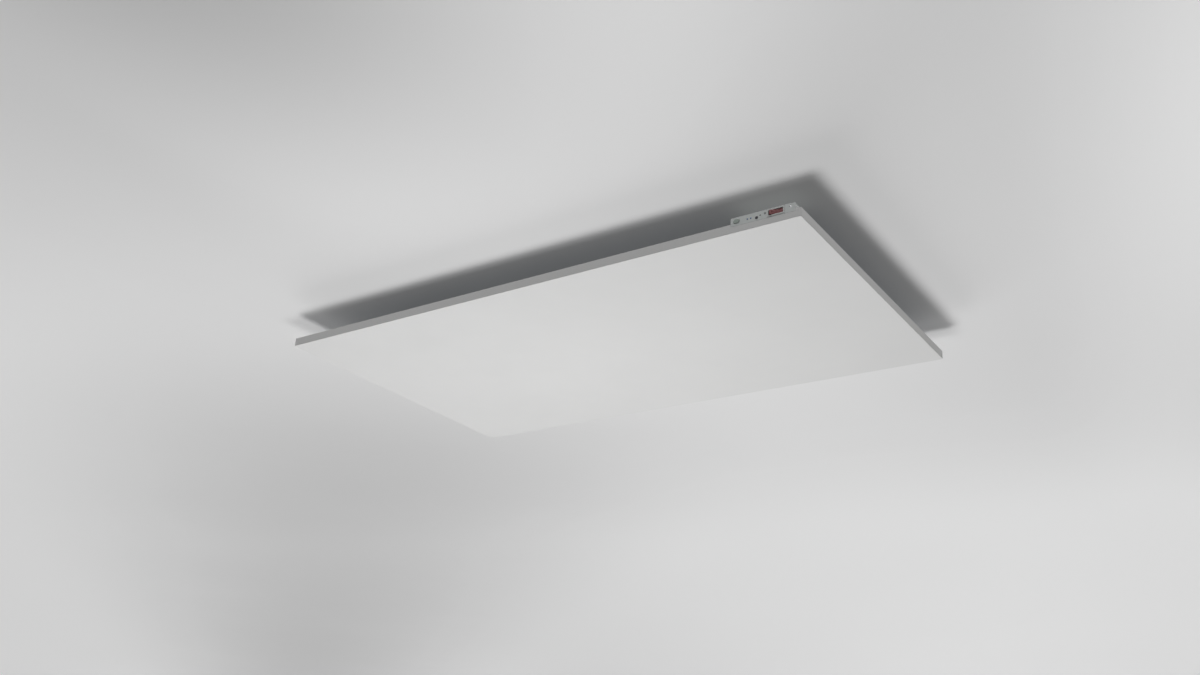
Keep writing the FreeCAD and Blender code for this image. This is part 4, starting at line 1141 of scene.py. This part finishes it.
@dataclass
class ControlHousing(Assembly):
    """The housing at the corner, its screws, its cable inlet and its earth point."""

    looks: Looks = (
        (Finishes.HOUSING, "control_housing", "housing_lid"),
        (Finishes.FASCIA, "fascia"),
        (Finishes.BRASS, "earth_nut"),
        (Finishes.LUG, "earth_terminal"),
        (Finishes.EARTH, "earth_lead"),
    )
    ear_screw: PanScrew = PanScrew(2.8 * MM, 1.6 * MM, 1.45 * MM, 4.0 * MM)
    lid_screw: PanScrew = PanScrew(2.0 * MM, 0.9 * MM, 1.1 * MM, 8.0 * MM)
    fascia_screw: PanScrew = PanScrew(
        1.9 * MM, 0.9 * MM, 1.1 * MM, 8.0 * MM, facing=Facing.CONTROL_SIDE)
    bore: float = 3.1 * MM
    rib_pitch: float = 1.5 * MM
    rib_depth: float = 0.25 * MM
    rib_share: float = 0.6
    thread_pitch: float = 0.7 * MM
    thread_depth: float = 0.25 * MM
    thread_share: float = 0.5

    def model(self) -> None:
        """Makes the ear screws, the lid screws, the fascia's screw, the bushing and the stud."""
        shop = self.workshop
        self.ear_screw.stand(shop, "ear_screws", "housing_screws")
        self.lid_screw.stand(shop, "lid_screw_set", "lid_screws")
        low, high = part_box("fascia_screw")
        seat = centre(low, high, y=low.y + self.fascia_screw.head_height)
        screw = self.fascia_screw.make("fascia_screw_head", [seat])
        shop.add(screw, Finishes.SCREW, Body.PANEL, "fascia_screw")
        shop.add(self.bushing(), Finishes.BUSHING, Body.PANEL, "cable_bushing")
        shop.add(self.stud(), Finishes.BRASS, Body.PANEL, "earth_stud")

    def bushing(self) -> Piece:
        """Turns the inlet bushing, a sleeve with ribs round it.

        Returns:
            The bushing.
        """
        low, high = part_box("cable_bushing")
        outer, length = (high.x - low.x) / 2, high.y - low.y
        ribs = int(length / self.rib_pitch)
        profile = [(self.bore, 0.0), (outer, 0.0)]
        for rib in range(ribs):
            start = length * rib / ribs
            groove = start + self.rib_share * length / ribs
            profile += [(outer, start), (outer, groove), (outer - self.rib_depth, groove),
                        (outer - self.rib_depth, start + length / ribs)]
        profile.append((self.bore, length))
        foot = Matrix.Translation(centre(low, high, y=low.y))
        frame = foot @ Matrix.Rotation(-math.pi / 2, 4, "X")
        return lathed("inlet_bushing", profile, frame, closed=True)

    def stud(self) -> Piece:
        """Turns the earth stud with its thread as close rings.

        Returns:
            The stud.
        """
        low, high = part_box("earth_stud")
        radius, length = (high.x - low.x) / 2, high.z - low.z
        turns = int(length / self.thread_pitch)
        profile = [(0.0, 0.0), (radius, 0.0)]
        for turn in range(turns):
            start = length * turn / turns
            root = start + self.thread_share * length / turns
            profile += [(radius, start), (radius - self.thread_depth, root)]
        profile += [(radius - self.thread_depth, length), (0.0, length)]
        foot = Matrix.Translation(centre(low, high, z=low.z))
        return lathed("threaded_stud", profile, foot, closed=False)


def lathed(name: str, profile: Sequence[tuple[float, float]], frame: Matrix, closed: bool,
           sides: int = 40) -> Piece:
    """A turned piece.

    Args:
        name: The piece's name.
        profile: Its radius and height at each point of its outline.
        frame: Where its foot and its axis are.
        closed: Whether the outline's last point joins its first, as on a sleeve.
        sides: How many sides stand for its round.

    Returns:
        The piece.
    """
    shape = bmesh.new()
    points = [shape.verts.new((radius, 0.0, height)) for radius, height in profile]
    pairs = list(zip(points, points[1:] + points[:1] if closed else points[1:]))
    edges = [shape.edges.new(pair) for pair in pairs if (pair[0].co - pair[1].co).length > 0]
    bmesh.ops.spin(shape, geom=[*points, *edges], axis=(0, 0, 1), cent=(0, 0, 0),
                   angle=math.tau, steps=sides)
    bmesh.ops.remove_doubles(shape, verts=shape.verts, dist=WELD)
    bmesh.ops.recalc_face_normals(shape, faces=shape.faces)
    shape.transform(frame)
    return from_bmesh(name, shape)


@dataclass
class MainsSwitch(Assembly):
    """The red rocker in its frame, with its pin and terminals."""

    looks: Looks = (
        (Finishes.SWITCH, "switch_body"),
        (Finishes.PIN, "rocker_pin"),
        (Finishes.BLADE, "switch_blades"),
    )
    reach: float = 11.5 * MM
    face_at: float = 3.6 * MM
    face_rise: float = math.radians(8.0)
    heel: float = 1.15 * MM
    hub: float = 2.4 * MM
    bore: float = 1.05 * MM
    throw: float = math.radians(11.0)
    edge: float = 0.4 * MM
    mark_at: float = 6.2 * MM
    mark_depth: float = 0.3 * MM
    bar: tuple[float, float] = (0.55 * MM, 3.0 * MM)
    ring: tuple[float, float] = (0.95 * MM, 1.5 * MM)

    def model(self) -> None:
        """Makes the rocker."""
        self.workshop.add(self.rocker(), Finishes.ROCKER, Body.ROCKER, "power_rocker")

    def pivot(self) -> Vector:
        """Finds the point that the rocker turns about.

        Returns:
            The middle of the pin, at the middle of the rocker's height.
        """
        low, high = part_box("rocker_pin")
        bottom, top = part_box("power_rocker")
        return centre(low, high, z=(bottom.z + top.z) / 2)

    def outline(self, steps: int = 8) -> list[tuple[float, float]]:
        """The rocker seen from above: a shallow V face between round ends, tapering to the hub.

        Args:
            steps: How many sides stand for each round end.

        Returns:
            The points, first along the rocker and then out of the fascia, from the pin.
        """
        slope = math.tan(self.face_rise)
        part = self.face_at * slope / (1 + slope ** 2)
        tip = math.sqrt(part ** 2 + (self.reach ** 2 - self.face_at ** 2) / (1 + slope ** 2)) - part
        upper = math.asin((self.face_at + tip * slope) / self.reach)
        lower = -math.asin(self.heel / self.reach)
        turns = [upper + (lower - upper) * step / steps for step in range(steps + 1)]
        right = [(self.reach * math.cos(turn), self.reach * math.sin(turn)) for turn in turns]
        right.append((self.hub, -self.hub))
        return [(0.0, self.face_at), *right, *[(-u, v) for u, v in reversed(right)]]

    def rocker(self) -> Piece:
        """Makes the rocker with rounded edges, a sunk bar on one half and a sunk ring on the other.

        Returns:
            The rocker, tilted as it rests.
        """
        low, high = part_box("power_rocker")
        half = (high.z - low.z) / 2
        shape = bmesh.new()
        rim = [shape.verts.new((u, -v, -half)) for u, v in self.outline()]
        face = shape.faces.new(rim)
        raised = bmesh.ops.extrude_face_region(shape, geom=[face])["geom"]
        tops = [part for part in raised if isinstance(part, bmesh.types.BMVert)]
        bmesh.ops.translate(shape, verts=tops, vec=(0.0, 0.0, 2 * half))
        bmesh.ops.recalc_face_normals(shape, faces=shape.faces)
        front = [e for e in shape.edges if min(-v.co.y for v in e.verts) >= self.face_at - self.edge
                 and max(abs(v.co.x) for v in e.verts) > self.edge]
        bmesh.ops.bevel(shape, geom=front, offset=self.edge, segments=3, profile=0.5,
                        affect="EDGES")
        rocker = from_bmesh("rocker_cap", shape)
        cutters = [self.bore_cutter(half), *self.mark_cutters()]
        for cutter in cutters:
            cut = rocker.modifiers.new("Cut", "BOOLEAN")
            cut.operation, cut.solver, cut.object = "DIFFERENCE", "EXACT", cutter
        finished(rocker)
        for cutter in cutters:
            bpy.data.objects.remove(cutter)
        tilt = Matrix.Rotation(self.throw, 4, "Z")
        rocker.data.transform(Matrix.Translation(self.pivot()) @ tilt)
        return rocker

    def bore_cutter(self, half: float) -> Piece:
        """A rod for the pin's bore.

        Args:
            half: Half the rocker's height.

        Returns:
            The rod, round the pin's axis.
        """
        shape = bmesh.new()
        bmesh.ops.create_cone(shape, cap_ends=True, segments=32, radius1=self.bore,
                              radius2=self.bore, depth=4 * half)
        return from_bmesh("bore_cutter", shape)

    def mark_cutters(self) -> list[Piece]:
        """A bar and a ring that are sunk into the two halves of the face.

        Returns:
            The two shapes.
        """
        deep = self.mark_depth
        width, height = self.bar
        bar = bmesh.new()
        bmesh.ops.create_cube(bar, size=1.0)
        bmesh.ops.scale(bar, verts=bar.verts, vec=(width, 2 * deep, height))
        bar.transform(self.on_face(1.0))
        inner, outer = self.ring
        profile = [(inner, -deep), (outer, -deep), (outer, deep), (inner, deep)]
        frame = self.on_face(-1.0) @ Matrix.Rotation(math.pi / 2, 4, "X")
        ring = lathed("ring_cutter", profile, frame, closed=True)
        return [from_bmesh("bar_cutter", bar), ring]

    def on_face(self, side: float) -> Matrix:
        """The place of a mark, flat on one half of the V face.

        Args:
            side: 1 for the half towards +X, -1 for the other.

        Returns:
            The mark's place.
        """
        rise = self.face_at + self.mark_at * math.tan(self.face_rise)
        turn = Matrix.Rotation(-side * self.face_rise, 4, "Z")
        return Matrix.Translation((side * self.mark_at, -rise, 0.0)) @ turn


@dataclass
class PushButton(Assembly):
    """The oval button, its plunger and the switch behind it."""

    looks: Looks = (
        (Finishes.BUTTON, "oval_button"),
        (Finishes.PLUNGER, "button_plunger"),
        (Finishes.TACT, "tact_switch"),
    )


@dataclass
class StatusLenses(Assembly):
    """The light pipes in the fascia and the receiver's lens."""

    looks: Looks = (
        (Finishes.GREY_LENS, "grey_lens"),
        (Finishes.CLEAR_LENS, "clear_lens"),
        (Finishes.BLUE_LENS, "blue_lenses"),
        (Finishes.DARK_LENS, "infrared_lens"),
    )


@dataclass
class Electronics(Assembly):
    """The two circuit boards and what they carry."""

    looks: Looks = (
        (Finishes.BOARD, "display_board", "power_board"),
        (Finishes.HEADER, "board_header"),
        (Finishes.RELAY, "relay"),
        (Finishes.MODULE, "power_module"),
        (Finishes.CAPACITOR, "capacitor"),
        (Finishes.FUSE, "fuse"),
        (Finishes.TERMINAL, "terminal_block"),
        (Finishes.BROWN, "board_leads"),
    )


# ---- The room


@dataclass(frozen=True)
class PaintedLightPatch:
    """Painted light and shade: a soft patch of lighter or darker ceiling colour, for window
    daylight and lamp fall-off.
    """

    at: tuple[float, float]
    reach: tuple[float, float]
    turn: float
    change: float

    def add_to(self, bench: Bench, tone: Socket | float) -> Socket:
        """Adds the patch's painted light and shade to a tone.

        Args:
            bench: The ceiling's material.
            tone: The tone so far.

        Returns:
            The tone with the patch.
        """
        inputs = {"Vector": bench.place, "Location": (*self.at, 0.0),
                  "Rotation": (0.0, 0.0, self.turn), "Scale": (*self.reach, 1.0)}
        local = bench.node("ShaderNodeMapping", inputs, vector_type="TEXTURE").outputs["Vector"]
        ball = bench.node("ShaderNodeTexGradient", {"Vector": local}, gradient_type="SPHERICAL")
        inputs = {"Value": ball.outputs["Fac"]}
        soft = bench.node("ShaderNodeMapRange", inputs, interpolation_type="SMOOTHSTEP")
        change = bench.math("MULTIPLY", soft.outputs["Result"], self.change)
        return bench.math("ADD", tone, change)


@dataclass(frozen=True)
class CeilingPaintAndLight:
    """Matt paint that shows only from below, so that the heater's back can be seen from above.

    Its level is above what paint can give back, because it stands for the room's other lamps too,
    and its soft patches paint lighter and darker light onto it.
    """

    colour: Colour = (0.90, 0.90, 0.90)
    level: float = 1.19
    cloud: float = 0.7
    spread: float = 0.01
    stipple: float = 2.5 * MM
    stipple_depth: float = 0.05 * MM
    # painted light and shade: soft patches that lighten and darken the paint's colour where the
    # room's light is uneven
    patches: tuple[PaintedLightPatch, ...] = (
        PaintedLightPatch((0.38, -1.44), (0.54, 1.17), math.radians(17.0), -0.713),
        PaintedLightPatch((-3.67, 2.71), (9.66, 1.17), math.radians(138.5), -0.290),
        PaintedLightPatch((1.08, 0.43), (3.72, 1.26), math.radians(179.3), -0.296),
        PaintedLightPatch((-0.54, 4.14), (7.49, 2.33), math.radians(110.9), 0.159),
        PaintedLightPatch((0.83, -1.56), (1.92, 0.66), math.radians(127.0), 0.710),
        PaintedLightPatch((1.24, -0.57), (0.37, 2.41), math.radians(16.0), 0.292),
        PaintedLightPatch((-0.04, -1.29), (1.26, 3.41), math.radians(-63.0), -0.267),
    )

    def material(self) -> Material:
        """Mixes the paint.

        Returns:
            The material.
        """
        bench = Bench("ceiling_paint")
        # painted light and shade: the level and the patches scale the paint's colour
        tone: Socket | float = self.level
        for patch in self.patches:
            tone = patch.add_to(bench, tone)
        cloud = bench.mottled(self.colour, bench.noise(self.cloud, 3.0), self.spread)
        inputs = {0: cloud, "Scale": tone}
        colour = bench.node("ShaderNodeVectorMath", inputs, operation="SCALE").outputs["Vector"]
        stipple = bench.bumps((bench.noise(self.stipple, 3.0), self.stipple_depth))
        inputs = {"Color": colour, "Normal": stipple}
        paint = bench.node("ShaderNodeBsdfDiffuse", inputs).outputs["BSDF"]
        back = bench.node("ShaderNodeNewGeometry").outputs["Backfacing"]
        clear = bench.node("ShaderNodeBsdfTransparent").outputs["BSDF"]
        both = bench.node("ShaderNodeMixShader", {0: back, 1: paint, 2: clear}).outputs["Shader"]
        bench.feed(bench.tree.nodes["Material Output"].inputs["Surface"], both)
        return bench.material


@dataclass(frozen=True)
class FloorPaint:
    """Pale matt floor."""

    colour: Colour = (0.742, 0.742, 0.742)
    roughness: float = 0.85
    cloud: float = 0.9
    spread: float = 0.003
    grain: float = 3.0 * MM
    grain_depth: float = 0.03 * MM

    def material(self) -> Material:
        """Mixes the paint.

        Returns:
            The material.
        """
        bench = Bench("floor_paint")
        return bench.dress(
            base_color=bench.mottled(self.colour, bench.noise(self.cloud), self.spread),
            roughness=self.roughness,
            normal=bench.bumps((bench.noise(self.grain), self.grain_depth)),
        )


@dataclass(frozen=True)
class SoftSun:
    """Even light from a wide source far away."""

    name: str
    strength: float
    spread: float
    shines: Place
    once: bool = False
    sheen: bool = True

    def hang(self) -> None:
        """Adds the light. Where it counts once, what it lights throws none of it on.

        Without a sheen it lights surfaces evenly and never shows as a reflection in them.
        """
        data = bpy.data.lights.new(self.name, "SUN")
        data.energy = self.strength
        data.angle = math.radians(self.spread)
        if self.once:
            data.cycles.use_multiple_importance_sampling = False
            data.use_nodes = True
            wiring = Wiring(data.node_tree)
            wiring.feed(wiring.tree.nodes["Emission"].inputs["Strength"], wiring.direct())
        lamp = placed(self.name, data)
        lamp.rotation_euler = Vector(self.shines).to_track_quat("-Z", "Y").to_euler()
        lamp.visible_glossy = self.sheen


@dataclass(frozen=True)
class NearLamp:
    """A round soft lamp not far below the heater, which shines straight up."""

    name: str
    power: float
    width: float
    at: Place

    def hang(self) -> None:
        """Adds the lamp, out of the camera's sight."""
        data = bpy.data.lights.new(self.name, "AREA")
        data.shape = "DISK"
        data.size = self.width
        data.energy = self.power
        lamp = placed(self.name, data)
        lamp.location = self.at
        lamp.rotation_euler = (math.pi, 0.0, 0.0)
        lamp.visible_camera = False


@dataclass
class Room:
    """A ceiling with painted light and shade, a pale floor, soft light and the camera."""

    ceiling: CeilingPaintAndLight = CeilingPaintAndLight()
    floor: FloorPaint = FloorPaint()
    floor_drop: float = 2.45
    reach: float = 400.0
    air_below: float = 0.18
    air_above: float = 0.32
    horizon: float = 0.05
    backdrop: float = 0.60
    lights: tuple[SoftSun | NearLamp, ...] = (
        NearLamp("near_lamp", 2.35, 0.58, (-0.08, 0.04, -1.0)),
        SoftSun("lower_light", 1.28, 20.0, (0.76, -0.57, 1.0)),
        SoftSun("window_light", 2.0, 24.0, (4.0, -4.0, 1.0), sheen=False),
        SoftSun("daylight", 1.45, 120.0, (0.0, 0.0, -1.0), once=True),
    )
    camera_at: Place = (1.15073, -1.66877, -0.89694)
    camera_looks: Place = (-0.52918, 0.75010, 0.39663)
    camera_up: Place = (0.18179, -0.35637, 0.91649)
    lens: float = 35.46
    sensor: float = 36.0
    sight: float = 1000.0

    def build(self) -> None:
        """Makes the ceiling, floor, lights, world and camera."""
        ceiling = self.plane("ceiling", 0.0, True, self.ceiling.material())
        for rays in ("diffuse", "glossy", "transmission", "volume_scatter", "shadow"):
            setattr(ceiling, f"visible_{rays}", False)
        floor = self.plane("floor", -self.floor_drop, False, self.floor.material())
        floor.visible_shadow = floor.visible_diffuse = False
        for light in self.lights:
            light.hang()
        self.world()
        self.camera()
        LOG.info("set up the room, the lights and the camera")

    def plane(self, name: str, height: float, faces_down: bool, material: Material) -> Piece:
        """Adds a wide level plane that isn't part of the heater.

        Args:
            name: Its name.
            height: Its height.
            faces_down: Whether its front looks down.
            material: Its material.

        Returns:
            The plane.
        """
        half = self.reach / 2
        corners = [(-half, -half, height), (half, -half, height),
                   (half, half, height), (-half, half, height)]
        mesh = bpy.data.meshes.new(name)
        mesh.from_pydata(corners[::-1] if faces_down else corners, [], [(0, 1, 2, 3)])
        mesh.materials.append(material)
        made = placed(name, mesh)
        return made

    def world(self) -> None:
        """Soft light from below and above, and a pale background for sight and reflections."""
        world = bpy.data.worlds.new("air")
        world.use_nodes = True
        wiring = Wiring(world.node_tree)
        rays = wiring.node("ShaderNodeLightPath").outputs
        mirrored = wiring.math("MAXIMUM", rays["Is Glossy Ray"], rays["Is Transmission Ray"])
        mirrored = wiring.math("MULTIPLY", mirrored, wiring.direct())
        seen = wiring.math("MAXIMUM", mirrored, rays["Is Camera Ray"])
        way = wiring.node("ShaderNodeTexCoord").outputs["Generated"]
        height = wiring.node("ShaderNodeSeparateXYZ", {"Vector": way}).outputs["Z"]
        inputs = {"Value": height, "From Min": -self.horizon, "From Max": self.horizon,
                  "To Min": self.air_below, "To Max": self.air_above}
        air = wiring.node("ShaderNodeMapRange", inputs).outputs["Result"]
        inputs = {"Value": seen, "To Min": air, "To Max": self.backdrop}
        level = wiring.node("ShaderNodeMapRange", inputs).outputs["Result"]
        background = wiring.tree.nodes["Background"]
        wiring.feed(background.inputs["Strength"], level)
        wiring.feed(background.inputs["Color"], (1.0, 1.0, 1.0, 1.0))
        bpy.context.scene.world = world

    def camera(self) -> None:
        """Sets the camera below the ceiling, at the control corner."""
        data = bpy.data.cameras.new("camera")
        data.lens = self.lens
        data.sensor_width = self.sensor
        data.clip_end = self.sight
        forward, up = Vector(self.camera_looks).normalized(), Vector(self.camera_up).normalized()
        axes = Matrix((forward.cross(up), up, -forward)).transposed()
        camera = placed("camera", data)
        camera.matrix_world = Matrix.Translation(self.camera_at) @ axes.to_4x4()
        bpy.context.scene.camera = camera


def main() -> None:
    """Builds the room and dresses the heater."""
    logging.basicConfig(level=logging.INFO, format="%(message)s")
    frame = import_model()
    bpy.context.scene.view_settings.view_transform = "Standard"
    Room().build()
    workshop = Workshop(frame["nodes"])
    for assembly in (Suspension, PanelShell, HeatingCore, ControlHousing, MainsSwitch, PushButton,
                     StatusLenses, Electronics):
        assembly(workshop).build()
        LOG.info("finished %s", assembly.__name__)


if __name__ == "__main__":
    main()
